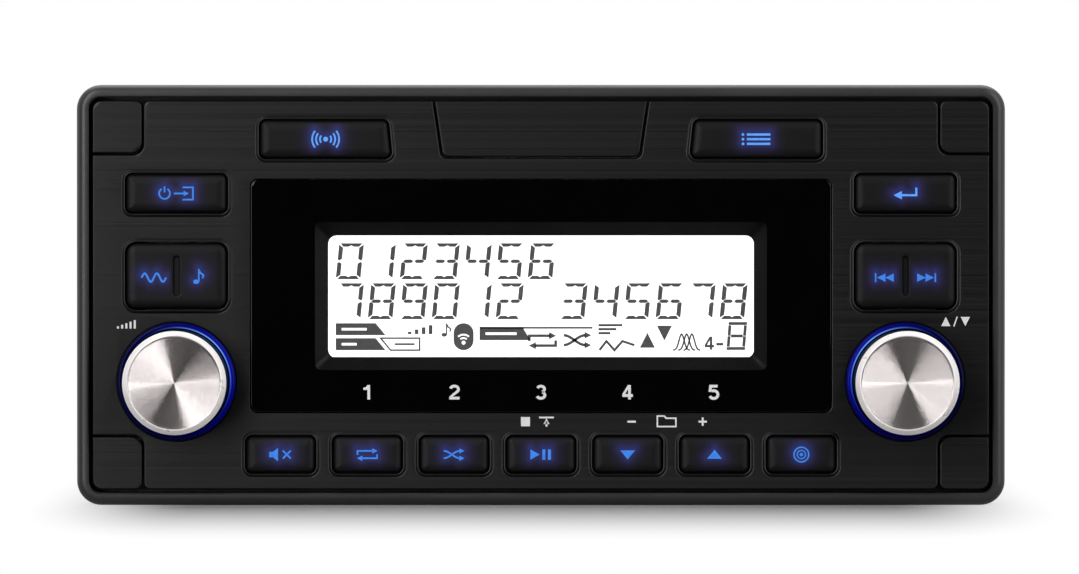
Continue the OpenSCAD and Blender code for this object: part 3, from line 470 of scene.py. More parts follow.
def ring_glow():
    """A light ring: it glows deep blue, made brighter towards one side as painted shade, with a
    thin pale line along its inner edge as a painted highlight.
    """
    m = Mat("ring_blue", (0.001, 0.001, 0.02), 0.2, Specular_IOR_Level=0.08)
    # the ring's own blue glow, brighter towards one side as painted shade
    glow_and_painted_shade = m.ramp(m.value("glow_and_painted_shade"), (0.0, 0), (1.0, (0.001, 0.003, 0.38)))
    # painted highlight: a thin pale blue line along the ring's inner edge
    line = m.ramp(m.value("line"), (0.0, 0), (1.0, (0.16, 0.36, 0.62)))
    m.into("Emission Color", m.vector("ADD", glow_and_painted_shade, line))
    m.set("Emission Strength", 1.0)
    m.into("Roughness", m.remap(m.noise(0.6, 2.0), 0.15, 0.25))
    return m.mat


def spun_metal():
    """Turned aluminium: fine grooves round the knob's axis lean the surface in and out, so that
    the lamps spread along the radius and stay sharp across it."""
    lines, grooves, middle, lean_most = 9.0, 997.0, 0.48, 1.12
    m = Mat("spun_metal", (0.64, 0.59, 0.585), 0.16, 1.0)
    radius = m.value("radius")
    line = m.node("TexNoise", noise_dimensions="1D", Scale=1.0, Detail=3.0, Roughness=0.7)
    m.link(m.math("MULTIPLY", radius, lines), line.inputs["W"])
    fac = line.outputs["Fac"]
    m.into("Base Color", m.ramp(fac, (0.25, (0.57, 0.528, 0.522)), (0.75, (0.70, 0.646, 0.64))))
    m.into("Roughness", m.remap(fac, 0.14, 0.18, 0.3, 0.7))
    groove = m.node("TexWhiteNoise", noise_dimensions="1D")
    m.link(m.math("MULTIPLY", radius, grooves), groove.inputs["W"])
    side = m.math("SUBTRACT", groove.outputs["Value"], middle)
    normal = m.node("NewGeometry").outputs["Normal"]
    tangent = m.node("Tangent", direction_type="RADIAL", axis="Y").outputs["Tangent"]
    across = m.vector("CROSS_PRODUCT", normal, tangent)
    lean = m.vector("SCALE", across, m.math("MULTIPLY", side, lean_most))
    m.into("Normal", m.vector("NORMALIZE", m.vector("ADD", normal, lean)))
    return m.mat


def polished_metal():
    m = Mat("plated_ring", (0.95, 0.91, 0.905), 0.3, 0.35)
    soft = m.noise(0.5, 2.0)
    m.into("Roughness", m.remap(soft, 0.27, 0.33, 0.3, 0.7))
    m.into("Base Color", m.ramp(soft, (0.2, (0.93, 0.89, 0.885)), (0.8, (0.96, 0.92, 0.915))))
    return m.mat


def glass():
    m = Mat("lens_clear", (1, 1, 1), 0.02, Transmission_Weight=1.0, IOR=1.3, Alpha=0.06)
    haze = m.noise(0.03, 2.0)
    m.into("Roughness", m.remap(haze, 0.0, 0.03))
    return m.mat


TRIM = speckled("trim_black", (0.010, 0.010, 0.0105), (0.016, 0.016, 0.0165), 0.42, 5.0, 0.01,
                Specular_IOR_Level=0.57)
PANEL = brushed_panel()
KEY = key_plastic()
LEGEND = lit("legend_blue", (0.095, 0.285, 0.78), 1.0)
LEGEND_DIM = lit("legend_deep_blue", (0.04, 0.18, 0.63), 1.0)
PRINT = speckled("print_white", 0.62, 0.74, 0.55, 6.0, 0.004)
RING = ring_glow()
SPUN = spun_metal()
POLISHED = polished_metal()
KNOB_SIDE = speckled("knob_side", (0.0015, 0.0015, 0.0016), (0.003, 0.003, 0.0033), 0.5, 3.0, 0.02,
                     Specular_IOR_Level=0.12)
GLASS = glass()
GLOSS = speckled("lens_border", (0.0005, 0.0005, 0.0006), (0.001, 0.001, 0.0012), 0.07, 0.2, 0.0,
                 0.02, Specular_IOR_Level=0.16)
FILM = speckled("film_black", 0.0006, 0.0012, 0.5, 2.0, 0.002, Specular_IOR_Level=0.05)
BEZEL = speckled("bezel_black", 0.0006, 0.0012, 0.4, 4.0, 0.01, Specular_IOR_Level=0.14)
SCREEN = lit("screen_white", (0.98, 0.99, 1.0), 1.06, 0.99)
SEGMENT = speckled("segment_grey", (0.068, 0.068, 0.070), (0.086, 0.086, 0.088), 0.6, 3.0, 0.002,
                   Specular_IOR_Level=0.1)
LAMP = lit("lamp_blue", (0.2, 0.45, 1.0), 0.6)
SILICONE = speckled("silicone_grey", (0.20, 0.21, 0.22), (0.28, 0.29, 0.30), 0.6, 1.5, 0.02)
FOAM = speckled("gasket_foam", 0.010, 0.030, 0.85, 2.2, 0.09)
BOARD = speckled("board_green", (0.006, 0.045, 0.016), (0.012, 0.075, 0.028), 0.45, 0.9, 0.02)
STEEL = speckled("plain_steel", (0.42, 0.42, 0.43), (0.58, 0.58, 0.59), 0.34, 2.5, 0.006,
                 Metallic=1.0)
COATED = speckled("chassis_black", (0.014, 0.014, 0.015), (0.030, 0.030, 0.031), 0.55, 1.6, 0.05)
SINK = speckled("sink_black", (0.011, 0.011, 0.012), (0.022, 0.022, 0.024), 0.42, 2.6, 0.02,
                Metallic=0.25)
BRASS = speckled("brass", (0.48, 0.33, 0.12), (0.62, 0.45, 0.18), 0.32, 2.0, 0.006, Metallic=1.0)
NICKEL = speckled("nickel", (0.55, 0.54, 0.51), (0.68, 0.67, 0.64), 0.24, 2.0, 0.004, Metallic=1.0)
CHIP = speckled("chip_black", 0.012, 0.024, 0.6, 2.2, 0.02)
CAPACITOR = speckled("capacitor_blue", (0.008, 0.012, 0.06), (0.014, 0.02, 0.09), 0.3, 1.0, 0.005)
RIBBON = speckled("ribbon_white", (0.55, 0.55, 0.53), (0.68, 0.68, 0.66), 0.5, 1.2, 0.01)
RUBBER = speckled("rubber_black", 0.008, 0.018, 0.7, 1.8, 0.04)
SOCKET = speckled("socket_black", 0.010, 0.020, 0.45, 3.0, 0.015)
FUSE = speckled("fuse_amber", (0.55, 0.17, 0.012), (0.70, 0.26, 0.02), 0.25, 1.0, 0.004)

NODE_MATERIALS = {
    "front_housing": TRIM, "lens_film": FILM, "display_frame": BEZEL, "lcd_glass": SCREEN,
    "lcd_backlight": SCREEN, "keypad_mat": SILICONE, "control_board": BOARD, "key_lamps": LAMP,
    "encoder_left": STEEL, "encoder_right": STEEL, "mounting_gasket": FOAM, "panel_screws": STEEL,
    "board_screws": STEEL, "chassis_tray": COATED, "top_cover": COATED, "heat_sink": SINK,
    "rear_plate": COATED, "chassis_screws": STEEL, "main_board": BOARD, "board_standoffs": BRASS,
    "amplifier_chip": CHIP, "chip_clamp": STEEL, "capacitors": CAPACITOR, "power_choke": CHIP,
    "tuner_can": STEEL, "wireless_module": BOARD, "ribbon_cable": RIBBON, "ribbon_sockets": RIBBON,
    "harness_grommet": RUBBER, "antenna_socket": NICKEL, "fuse_holder": SOCKET, "blade_fuse": FUSE,
    "volume_core": CHIP, "volume_shaft": STEEL, "tuning_core": CHIP, "tuning_shaft": STEEL,
}
for node, mat in NODE_MATERIALS.items():
    obj = frame["nodes"][node]
    obj.data.materials.clear()
    obj.data.materials.append(mat)

# Depths and sizes that the frame fixes

PANEL_FRONT, PANEL_BACK = 12.4, 10.0
KEY_FRONT = 13.5
LIP, LIP_BACK, LIP_FRONT = 1.1, 9.0, 9.8
POST_R, POST_X, POST_IN = 1.75, 5.6, 0.1
PANEL_W, PANEL_H = 183.6, 79.6
CAP_W, CAP_H, CAP_GAP = 10.2, 10.8, 0.3
TAB_LOW, TAB_TOP, TAB_H, TAB_GAP = 20.1, 21.8, 11.5, 0.3
ROW = ("mute", "repeat", "shuffle", "play", "down", "up", "sub")
ROW_W, ROW_H = 14.0, 7.4
SIDE_W, SIDE_H, ROCKER_H = 20.5, 7.8, 13.4
KEY_R, ROCKER_R = 1.2, 2.0
TOP_W, TOP_H, TOP_LEAN = 26.8, 7.7, 0.8
COLUMN_X = place("track_rocker")[0]
KNOB_Y = place("tuning_knob")[1]
KNOB_R, KNOB_BORE = 10.6, 9.4
RING_R, RING_W, RING_FOOT, RING_BORE = 12.15, 1.2, 12.75, 3.6
LENS_W, LENS_H, LENS_R, LENS_GAP = 118.8, 47.6, 1.5, 0.15
WINDOW_W, WINDOW_H, WINDOW_R = 92.5, 30.3, 1.2


def top_corners(x, h, mirror):
    w, t = TOP_W / 2, TOP_H / 2
    points = [(-w, -t), (w, -t), (w, t), (TOP_LEAN - w, t)]
    if mirror:
        points = [(-a, b) for a, b in points][::-1]
    return [(x + a, h + b) for a, b in points]


def key_outline(node, step=None):
    x, h, _, _ = place(node)
    if node in ("scan_key", "menu_key"):
        return Outline(top_corners(x, h, node == "scan_key"), KEY_R, 6, step)
    if node in ("source_key", "enter_key"):
        return rect(x, h, SIDE_W, SIDE_H, KEY_R, 6, step)
    if node in ("band_rocker", "track_rocker"):
        return rect(x, h, SIDE_W, ROCKER_H, ROCKER_R, 8, step)
    return rect(x, h, ROW_W, ROW_H, KEY_R, 6, step)


BRIGHT_KEYS = ("scan_key", "menu_key", "enter_key")
PUSH_KEYS = ["scan_key", "menu_key", "source_key", "enter_key"] + [k + "_key" for k in ROW]
ROCKERS = ["band_rocker", "track_rocker"]


# Legends, in millimetres from the key's middle


def arrow(x, h, size, turn):
    """A solid triangle that points along turn, in degrees."""
    a = math.radians(turn)
    along, side = np.array([math.cos(a), math.sin(a)]), np.array([-math.sin(a), math.cos(a)])
    mid = np.array([x, h])
    return [np.array([mid + along * size, mid - along * size + side * size,
                      mid - along * size - side * size])]


def waves():
    marks = disc(0, 0, 0.5)
    for r in (1.15, 1.95, 2.75):
        marks += arc(0, 0, r, -38, 38, 0.36) + arc(0, 0, r, 142, 218, 0.36)
    return marks


def list_bars():
    marks = []
    for h in (0.95, 0.0, -0.95):
        marks += bar(-1.9, h, 2.9, h, 0.46) + disc(-2.7, h, 0.28)
    return marks


def power():
    return arc(0, 0, 1.1, -238, 58, 0.34, 30) + bar(0, 0.2, 0, 1.45, 0.34)


def inlet():
    box = [(-0.2, 1.25), (1.9, 1.25), (1.9, -1.25), (-0.2, -1.25)]
    return path(box, 0.34) + bar(-2.0, 0, 0.2, 0, 0.34) + arrow(0.55, 0, 0.55, 0)


def return_arrow():
    return path([(2.2, 1.2), (2.2, -0.35), (-1.2, -0.35)], 0.42) + arrow(-1.6, -0.35, 0.85, 180)


def ripple():
    t = np.linspace(-1, 1, 41)
    return path(np.stack([2.5 * t, 0.85 * np.sin(t * 2 * math.pi)], 1), 0.4)


def note():
    flag = path([(0, 1.35), (0.35, 0.75), (0.95, 0.3), (0.75, -0.35)], 0.34)
    return disc(-0.55, -1.05, 0.62, 0.72) + bar(0, -1.0, 0, 1.55, 0.3) + flag


def skip(turn):
    s = 1 if turn == 0 else -1
    marks = arrow(-s * 1.35, 0, 0.85, turn) + arrow(s * 0.35, 0, 0.85, turn)
    return marks + bar(s * 1.5, -0.9, s * 1.5, 0.9, 0.3)


def speaker():
    cone = poly((-2.3, -0.55), (-1.55, -0.55), (-0.5, -1.35), (-0.5, 1.35), (-1.55, 0.55),
                (-2.3, 0.55))
    return cone + bar(0.5, -0.8, 2.1, 0.8, 0.36) + bar(0.5, 0.8, 2.1, -0.8, 0.36)


def repeat(w=0.34):
    upper = path([(-2.0, -0.05), (-2.0, 0.75), (1.2, 0.75)], w)
    lower = path([(2.0, 0.05), (2.0, -0.75), (-1.2, -0.75)], w)
    return upper + lower + arrow(1.55, 0.75, 0.55, 0) + arrow(-1.55, -0.75, 0.55, 180)


def shuffle(w=0.34):
    t = np.linspace(0, 1, 14)
    run, rise = 3.3 * t - 2.1, -0.75 * np.cos(t * math.pi)
    marks = path(np.stack([run, rise], 1), w) + path(np.stack([run, -rise], 1), w)
    return marks + arrow(1.6, 0.75, 0.52, 0) + arrow(1.6, -0.75, 0.52, 0)


def play_pause():
    marks = poly((-2.15, -1.05), (-0.25, 0), (-2.15, 1.05))
    for x in (0.6, 1.75):
        marks += bar(x, -1.05, x, 1.05, 0.62)
    return marks


def woofer():
    return loop(0, 0, 1.5, 0.3) + loop(0, 0, 0.85, 0.26) + disc(0, 0, 0.38)


LEGENDS = {
    "scan_key": waves(),
    "menu_key": list_bars(),
    "source_key": moved(power(), -2.4, 0) + moved(inlet(), 1.5, 0),
    "enter_key": return_arrow(),
    "band_rocker": moved(ripple(), -4.6, -0.3) + moved(note(), 4.6, -0.1),
    "track_rocker": moved(skip(180), -4.6, -0.3) + moved(skip(0), 4.6, -0.3),
    "mute_key": speaker(),
    "repeat_key": repeat(),
    "shuffle_key": shuffle(),
    "play_key": play_pause(),
    "down_key": poly((-1.5, 0.85), (0, -1.0), (1.5, 0.85)),
    "up_key": poly((-1.5, -0.85), (1.5, -0.85), (0, 1.0)),
    "sub_key": woofer(),
}


def spread(polys, gap=0.25):
    """Points along the marks' edges and at their middles, for the light that spills round them."""
    points = []
    for p in polys:
        points.append(p.mean(0)[None])
        for a, b in zip(p, np.roll(p, -1, 0)):
            n = max(1, int(np.hypot(*(b - a)) / gap))
            points.append(a + (b - a) * np.linspace(0, 1, n, endpoint=False)[:, None])
    return np.concatenate(points)


def halo(verts, polys, reach=1.75, lift=0.3):
    """How strongly the light behind the marks shows at each vertex of a key."""
    at = np.array(verts)
    seen = spread(polys) + (0, lift)
    near = np.full(len(at), 99.0)
    for p in seen:
        near = np.minimum(near, np.hypot(at[:, 0] - p[0], at[:, 1] - p[1]))
    return np.exp(-((near / reach) ** 1.4)) * (at[:, 2] > KEY_FRONT - 0.35)


# A key's front: a soft bevel up to a flat middle. Pairs of inset and depth below the front.
BEVEL = [
    (0.0, 1.6), (0.06, 1.15), (0.15, 0.8), (0.28, 0.53), (0.45, 0.36), (0.7, 0.235), (1.05, 0.125),
    (1.47, 0.04), (1.9, 0.0),
]
# The rolled edge of the slot between a rocker's halves, and its depth
SLOT_EDGE = [(-0.3, 0.0), (-0.16, 0.03), (-0.06, 0.12), (0.0, 0.3), (0.0, 0.8)]
# How far apart the points lie along a key's edge and on its front
EDGE_STEP, FRONT_STEP = 0.55, 0.45


def dress_key(b, node, x, h):
    """Makes the key's cap, with the light that spills on it, and its legend."""
    marks = moved(LEGENDS[node], x, h)
    glow = halo(b.v, marks)
    b.piece(node + "_cap", [KEY], node + "_body", "key_black", [node], values={"glow": glow})
    light = LEGEND if node in BRIGHT_KEYS else LEGEND_DIM
    marks_piece(node + "_legend", marks, KEY_FRONT, 0.03, light, node + "_body", "lamp_white")


def push_key(node):
    x, h, low, _ = place(node)
    back, front = KEY_FRONT - LIP_BACK, KEY_FRONT - LIP_FRONT
    b = Build()
    lip = [(-LIP, back), (-LIP, front), (0.0, front)]
    rings = b.rise(key_outline(node, EDGE_STEP), lip + BEVEL, KEY_FRONT)
    b.fill([rings[0]], front=False)
    b.fill([rings[-1]], step=FRONT_STEP)
    b.rod(x, h, POST_R, low, LIP_BACK + POST_IN)
    dress_key(b, node, x, h)


def rocker_key(node):
    x, h, low, _ = place(node)
    back = low + 2.0
    b = Build()
    rings = b.rise(key_outline(node, EDGE_STEP), [(0.0, KEY_FRONT - back)] + BEVEL, KEY_FRONT)
    b.fill([rings[0]], front=False)
    slot = b.rise(rect(x, h, 1.25, 8.0, 0.6, 8), SLOT_EDGE, KEY_FRONT)
    b.fill([rings[-1], slot[0]], step=FRONT_STEP)
    b.fill([slot[-1]])
    for s in (-1, 1):
        b.rod(x + s * POST_X, h, POST_R, low, back + POST_IN)
    dress_key(b, node, x, h)


for node in PUSH_KEYS:
    push_key(node)
for node in ROCKERS:
    rocker_key(node)


# Front panel: openings with a rounded bead in a shallow groove, notches for the caps and the tab.
# Pairs of inset from the outline and depth below the panel's front.

BEAD = [
    (-1.14, 0.0), (-1.07, 0.03), (-0.99, 0.07), (-0.91, 0.06), (-0.83, 0.0), (-0.75, -0.1),
    (-0.67, -0.21), (-0.59, -0.3), (-0.5, -0.36), (-0.42, -0.38), (-0.34, -0.35), (-0.29, -0.27),
    (-0.26, -0.1), (-0.24, 2.4),
]
EDGE = [(0.0, 2.4), (0.0, 0.5), (0.05, 0.26), (0.14, 0.1), (0.24, 0.03), (0.36, 0.0)]
LENS_EDGE = [(-0.2, 0.0), (-0.06, 0.07), (0.0, 0.22), (0.0, 2.4)]
# the knobs' openings: radius and depth
KNOB_EDGE = [(12.45, 0.0), (12.28, 0.07), (12.2, 0.22), (12.2, 2.4)]


def panel_outline():
    w, t = PANEL_W / 2, PANEL_H / 2
    cw, ct = w - CAP_W - CAP_GAP, t - CAP_H - CAP_GAP
    low = t - TAB_H - TAB_GAP
    right = [(cw, -t), (cw, -ct), (w, -ct), (w, ct), (cw, ct), (cw, t)]
    turn = [1.3, 2.2, 0.3, 0.3, 2.2, 1.3]
    wide, narrow = TAB_TOP + TAB_GAP, TAB_LOW + TAB_GAP
    tab = [(wide, t), (narrow, low), (-narrow, low), (-wide, t)]
    left = [(-x, h) for x, h in right][::-1]
    return Outline(right + tab + left, turn + [0.3, 1.3, 1.3, 0.3] + turn[::-1], 8)


def front_panel():
    b = Build()
    edge = b.rise(panel_outline(), EDGE, PANEL_FRONT)
    holes = [b.rise(key_outline(node), BEAD, PANEL_FRONT) for node in PUSH_KEYS + ROCKERS]
    size = LENS_W + 2 * LENS_GAP, LENS_H + 2 * LENS_GAP, LENS_R + LENS_GAP
    holes.append(b.rise(rect(0, place("display_lens")[1], *size, 8), LENS_EDGE, PANEL_FRONT))
    for s in (-1, 1):
        rings = [b.ring(circle(s * COLUMN_X, KNOB_Y, r), PANEL_FRONT - d) for r, d in KNOB_EDGE]
        b.chain(rings)
        holes.append(rings)
    b.fill([edge[-1]] + [rings[0] for rings in holes])
    b.fill([edge[0]] + [rings[-1] for rings in holes], front=False)
    b.piece("front_plate", [PANEL], "receiver", "panel_black", ["front_panel"])


def name_tab():
    b = Build()
    t = PANEL_H / 2
    corners = [(-TAB_LOW, t - TAB_H), (TAB_LOW, t - TAB_H), (TAB_TOP, t), (-TAB_TOP, t)]
    line = Outline(corners, [1.2, 1.2, 0.3, 0.3], 8)
    rings = b.rise(line, [(0.0, 1.0), *EDGE[1:]], PANEL_FRONT)
    b.fill([rings[0]], front=False)
    b.fill([rings[-1]])
    b.piece("bare_tab", [PANEL], "receiver", "panel_black", ["name_tab"])


def corner_cap(name, sx, sh):
    node = "corner_cap_" + name
    x, h, low, _ = place(node)
    w, t = CAP_W / 2, CAP_H / 2
    # inner lower, outer lower, outer upper and inner upper corners of the upper right cap
    points = [(-w, -t), (w, -t), (w, t), (-w, t)]
    turn = [2.2, 0.25, 1.9, 1.4]
    points = [(x + sx * a, h + sh * c) for a, c in points]
    if sx * sh < 0:
        points, turn = points[::-1], turn[::-1]
    b = Build()
    rings = b.rise(Outline(points, turn, 8), EDGE, PANEL_FRONT)
    b.fill([rings[0]], front=False)
    b.fill([rings[-1]])
    top = PANEL_BACK + 0.1
    peg = [(0, low), (0.7, low), (1.0, low + 0.4), (1.0, top), (0, top)]
    for s in (-1, 1):
        b.lathe(x + s * (w - 1.3), h + s * (t - 1.3), peg, seg=24)
    b.piece(node + "_cover", [PANEL], node + "_body", "panel_black", [node])


front_panel()
name_tab()
for name, sx, sh in (("tl", -1, 1), ("tr", 1, 1), ("bl", -1, -1), ("br", 1, -1)):
    corner_cap(name, sx, sh)


# Display lens, light rings and knobs


def display_lens():
    x, h, low, high = place("display_lens")
    b = Build()
    edge = [(0.0, high - low), (0.0, 0.25), (0.08, 0.07), (0.25, 0.0)]
    rings = b.rise(rect(x, h, LENS_W, LENS_H, LENS_R, 8), edge, high, 1)
    window = b.ring(rect(x, h, WINDOW_W, WINDOW_H, WINDOW_R, 8).at(0), high)
    b.fill([rings[0]], front=False)
    b.fill([rings[-1], window], 1)
    b.fill([window])
    b.piece("clear_lens", [GLASS, GLOSS], "receiver", "lens_clear", ["display_lens"])


def light_ring(side, s):
    node = "light_ring_" + side
    _, _, low, crest = place(node)
    half, base = RING_W / 2, low + 1
    mid, deep = RING_R - half, 1.6 * half
    turn = np.radians(np.linspace(0, 180, 15))
    profile = [(RING_BORE, low), (RING_FOOT, low), (RING_FOOT, base), (RING_R, base)]
    profile += [(mid + half * math.cos(a), crest - deep + deep * math.sin(a)) for a in turn]
    profile += [(RING_R - RING_W, base), (RING_BORE, base), (RING_BORE, low)]
    b = Build()
    b.lathe(s * COLUMN_X, KNOB_Y, profile)
    # painted light: the glow is brightest towards the upper inner side and dimmer round the rest as
    # painted shade, with a thin painted highlight line along the knob
    at = np.array(b.v)
    dx, dh = at[:, 0] - s * COLUMN_X, at[:, 1] - KNOB_Y
    r, turn = np.hypot(dx, dh), np.degrees(np.arctan2(dh, -s * dx))
    front = at[:, 2] > base + 0.05
    glow_and_painted_shade = front * (0.05 + 0.95 * (0.5 + 0.5 * np.cos(np.radians(turn - 30))) ** 3)
    glow_and_painted_shade *= np.clip((12.3 - r) / 1.05, 0, 1) ** 1.3
    # painted highlight: the thin pale line along the knob
    line = front * np.clip((11.3 - r) / 0.16, 0, 1) * np.exp(-(((turn - 45) / 38) ** 2))
    b.piece(node + "_lit", [RING], "receiver", "ring_blue", [node], angle=50,
            values={"glow_and_painted_shade": glow_and_painted_shade, "line": line})


def knob(kind, s):
    node = kind + "_knob"
    _, _, low, top = place(node)
    x = s * COLUMN_X
    # a dark side with a groove, a plated rim and a dished face
    side = [(KNOB_BORE, low), (10.35, low), (10.55, low + 0.2), (KNOB_R, low + 0.5),
            (KNOB_R, top - 1.75), (10.5, top - 1.65), (10.5, top - 1.45), (KNOB_R, top - 1.35)]
    rim = [(KNOB_R, 0.98), (10.57, 0.9), (10.5, 0.81), (9.72, 0.06), (9.66, 0.015), (9.6, 0.0),
           (9.54, 0.03), (9.5, 0.12), (9.48, 0.3)]
    rim = [(r, top - d) for r, d in rim]
    edge, deep, dish = 9.42, 0.4, 0.16
    face = [(edge, top - deep)]
    face += [(r, top - deep - dish * (1 - (r / edge) ** 2)) for r in np.linspace(9.0, 0.4, 24)]
    mats = [0] * (len(side) - 1) + [1] * (len(rim) + 1) + [2] * len(face)
    b = Build()
    b.lathe(x, KNOB_Y, side + rim + face + [(0, top - deep - dish)], mats, 128)
    b.lathe(x, KNOB_Y, [(0, top - 2.0), (KNOB_BORE, top - 2.0), (KNOB_BORE, low)], [0, 0], 128)
    at = np.array(b.v)
    r = np.hypot(at[:, 0] - x, at[:, 1] - KNOB_Y)
    b.piece(kind + "_cap", [KNOB_SIDE, POLISHED, SPUN], kind + "_dial", "spun_metal", [node],
            angle=40, values={"radius": r})


# Rear fittings

FUSE_W, FUSE_H, FUSE_GRIP = 19.0, 5.0, 5.0
BLADE_W, BLADE_T, BLADE_X, BLADE_L = 5.0, 0.8, 5.5, 1.8


def blade_fuse():
    """A blade fuse: a moulded head with a waist, and a test slot over each blade."""
    x, h, low, high = place("blade_fuse")
    line = rect(x, h, FUSE_W, FUSE_H, 0.9, 6)
    foot = high - BLADE_L
    b = Build()
    head = [(0.55, 0.0), (0.2, -0.1), (0.03, -0.32), (0.0, -0.6), (0.0, -2.6), (0.1, -2.8),
            (0.4, -2.9), (0.4, low - foot)]
    rings = b.rise(line, head, low)
    b.fill([rings[-1]])
    slots = []
    for side in (-1, 1):
        at = x + side * BLADE_X
        hole = rect(at, h, 3.4, 1.5, 0.35, 5)
        mouth, deep = b.ring(hole.at(0), low), b.ring(hole.at(0.08), low + 0.9)
        b.chain([deep, mouth])
        b.fill([deep], 1, front=False)
        slots.append(mouth)
        w, t = BLADE_W / 2, BLADE_T / 2
        corners = [(at - w, h - t), (at + w, h - t), (at + w, h + t), (at - w, h + t)]
        b.prism(corners, foot - 0.4, high, 1)
    b.fill([rings[0], *slots], front=False)
    b.piece("fuse_head", [FUSE, STEEL], "receiver", "fuse_amber", ["blade_fuse"])


def antenna_contact():
    """The insulator at the foot of the antenna socket and its split contact."""
    x, h, _, high = place("antenna_socket")
    foot = high - 2.0
    tip = foot - 5.5
    b = Build()
    b.lathe(x, h, [(0, foot - 0.9), (4.55, foot - 0.9), (4.62, foot - 0.7), (4.62, foot + 0.1),
                   (0, foot + 0.1)], seg=48)
    b.piece("antenna_insulator", [RIBBON], "receiver", "ribbon_white")
    b = Build()
    b.lathe(x, h, [(0, tip + 2.5), (0.9, tip + 2.5), (0.9, tip + 0.1), (1.0, tip), (1.35, tip),
                   (1.5, tip + 0.15), (1.5, foot - 0.8), (0, foot - 0.8)], seg=32)
    b.piece("antenna_pin", [BRASS], "receiver", "brass")


display_lens()
blade_fuse()
antenna_contact()
for side, s in (("left", -1), ("right", 1)):
    light_ring(side, s)
for kind, s in (("volume", -1), ("tuning", 1)):
    knob(kind, s)


# Display: plain numbers and generic signs on the glass

# millimetres to a pixel of the photo, the pixel at the face's middle, and the display glass
PX = 0.2049
FACE_X, FACE_Y = 540.4, 294.6
VIEW_W, VIEW_H = 87.3, 25.1


def fx(px):
    return (px - FACE_X) * PX


def fh(py):
    return (FACE_Y - py) * PX


def drawn(w, *points, closed=False):
    """A line through photo pixels."""
    return path([(fx(px), fh(py)) for px, py in points], w, closed)


SEGMENTS = {
    "0": "abcdef", "1": "bc", "2": "abged", "3": "abgcd", "4": "fgbc", "5": "afgcd", "6": "afgedc",
    "7": "abc", "8": "abcdefg", "9": "abcdfg",
}


def character(digit, x, h, w, t, k, slant=0.1):
    """A segment digit in strokes k wide, with its lower left corner at x, h."""
    mid, half, inner = t / 2, w / 2, t - 0.8 * k
    top = [(0.3 * k, t), (w - 0.3 * k, t), (w - k, inner), (half + 0.6 * k, inner),
           (half, t - 0.5 * k), (half - 0.6 * k, inner), (k, inner)]
    left = [(0, t - 0.3 * k), (0, mid + 0.4 * k), (0.4 * k, mid + 0.15 * k), (k, mid + 0.55 * k),
            (k, t - k)]
    dash = [(0.4 * k, mid), (0.85 * k, mid + 0.4 * k), (half - 0.55 * k, mid + 0.4 * k),
            (half - 0.12 * k, mid), (half - 0.55 * k, mid - 0.4 * k), (0.85 * k, mid - 0.4 * k)]

    def flip(p, across, down):
        return [(w - a if across else a, t - b if down else b) for a, b in p]

    shapes = {
        "a": [top], "d": [flip(top, False, True)], "f": [left], "e": [flip(left, False, True)],
        "b": [flip(left, True, False)], "c": [flip(left, True, True)],
        "g": [dash, flip(dash, True, False)],
    }
    polys = [p for key in SEGMENTS[digit] for p in shapes[key]]
    return [np.array([(x + a + slant * b, h + b) for a, b in p]) for p in polys]


def small_digit(digit, x, h, t):
    """A stroke digit t high, centred on x, h."""
    w, k = t * 0.29, t * 0.19
    if digit == "1":
        stem = 0.1 * t
        marks = bar(stem, -0.5 * t, stem, 0.5 * t, k)
        near = stem - k / 2
        marks += poly((-0.27 * t, 0.16 * t), (near, 0.16 * t), (near, 0.5 * t),
                      (-0.08 * t, 0.36 * t), (-0.27 * t, 0.31 * t))
    elif digit == "2":
        turn = np.radians(np.linspace(165, -40, 16))
        marks = path([(w * 0.95 * math.cos(a), 0.2 * t + w * 0.78 * math.sin(a)) for a in turn], k)
        inner, outer = marks[-1][1], marks[-1][2]
        base, reach = k - 0.5 * t, 1.22 * w
        marks += poly(inner, outer, (1.15 * k - reach, base), (-reach, base))
        marks += poly((-reach, -0.5 * t), (reach, -0.5 * t), (reach, base), (-reach, base))
    elif digit == "3":
        upper = np.radians(np.linspace(160, -70, 14))
        lower = np.radians(np.linspace(70, -160, 14))
        upper = [(w * 0.85 * math.cos(a), 0.22 * t + 0.2 * t * math.sin(a)) for a in upper]
        lower = [(w * 0.95 * math.cos(a), -0.2 * t + 0.22 * t * math.sin(a)) for a in lower]
        marks = path(upper, k) + path(lower, k)
    elif digit == "4":
        reach, near, far = 1.25 * w, 0.45 * w - k / 2, 0.45 * w + k / 2
        low, high = -0.32 * t, k - 0.32 * t
        marks = poly((-reach, low), (reach, low), (reach, high), (-reach, high))
        marks += poly((near, -0.5 * t), (far, -0.5 * t), (far, low), (near, low))
        marks += poly((-reach, high), (k - reach, high), (near, 0.23 * t), (near, high),
                      (far, high), (far, 0.5 * t), (near - 0.1 * k, 0.5 * t))
    else:
        turn = np.radians(np.linspace(120, -155, 16))
        bow = [(w * math.cos(a), -0.16 * t + 0.27 * t * math.sin(a)) for a in turn]
        hook = [(w * 0.9, 0.42 * t), (-w * 0.75, 0.42 * t), (-w * 0.9, 0.02 * t)]
        marks = path(hook, k) + path(bow, k)
    return moved(marks, x, h)


def thin_eight(x, h, w, t, thick, slant=0.08, gap=0.07):
    """A light segment 8 with its lower left corner at x, h."""
    low, mid, high = thick / 2, t / 2, t - thick / 2
    left, right, inset = thick / 2, w - thick / 2, thick / 2 + gap
    ends = [(0, low, w, low), (left + inset, mid, right - inset, mid), (0, high, w, high)]
    for side in (left, right):
        ends += [(side, low + inset, side, mid - gap / 2)]
        ends += [(side, mid + gap / 2, side, high - inset)]
    marks = []
    for x0, y0, x1, y1 in ends:
        marks += bar(x + x0 + slant * y0, h + y0, x + x1 + slant * y1, h + y1, thick)
    return marks


def tag(x0, y0, x1, y1, lean):
    """A solid label with a slanted right end, in photo pixels."""
    return poly((fx(x0), fh(y1)), (fx(x1), fh(y1)), (fx(x1 - lean), fh(y0)), (fx(x0), fh(y0)))


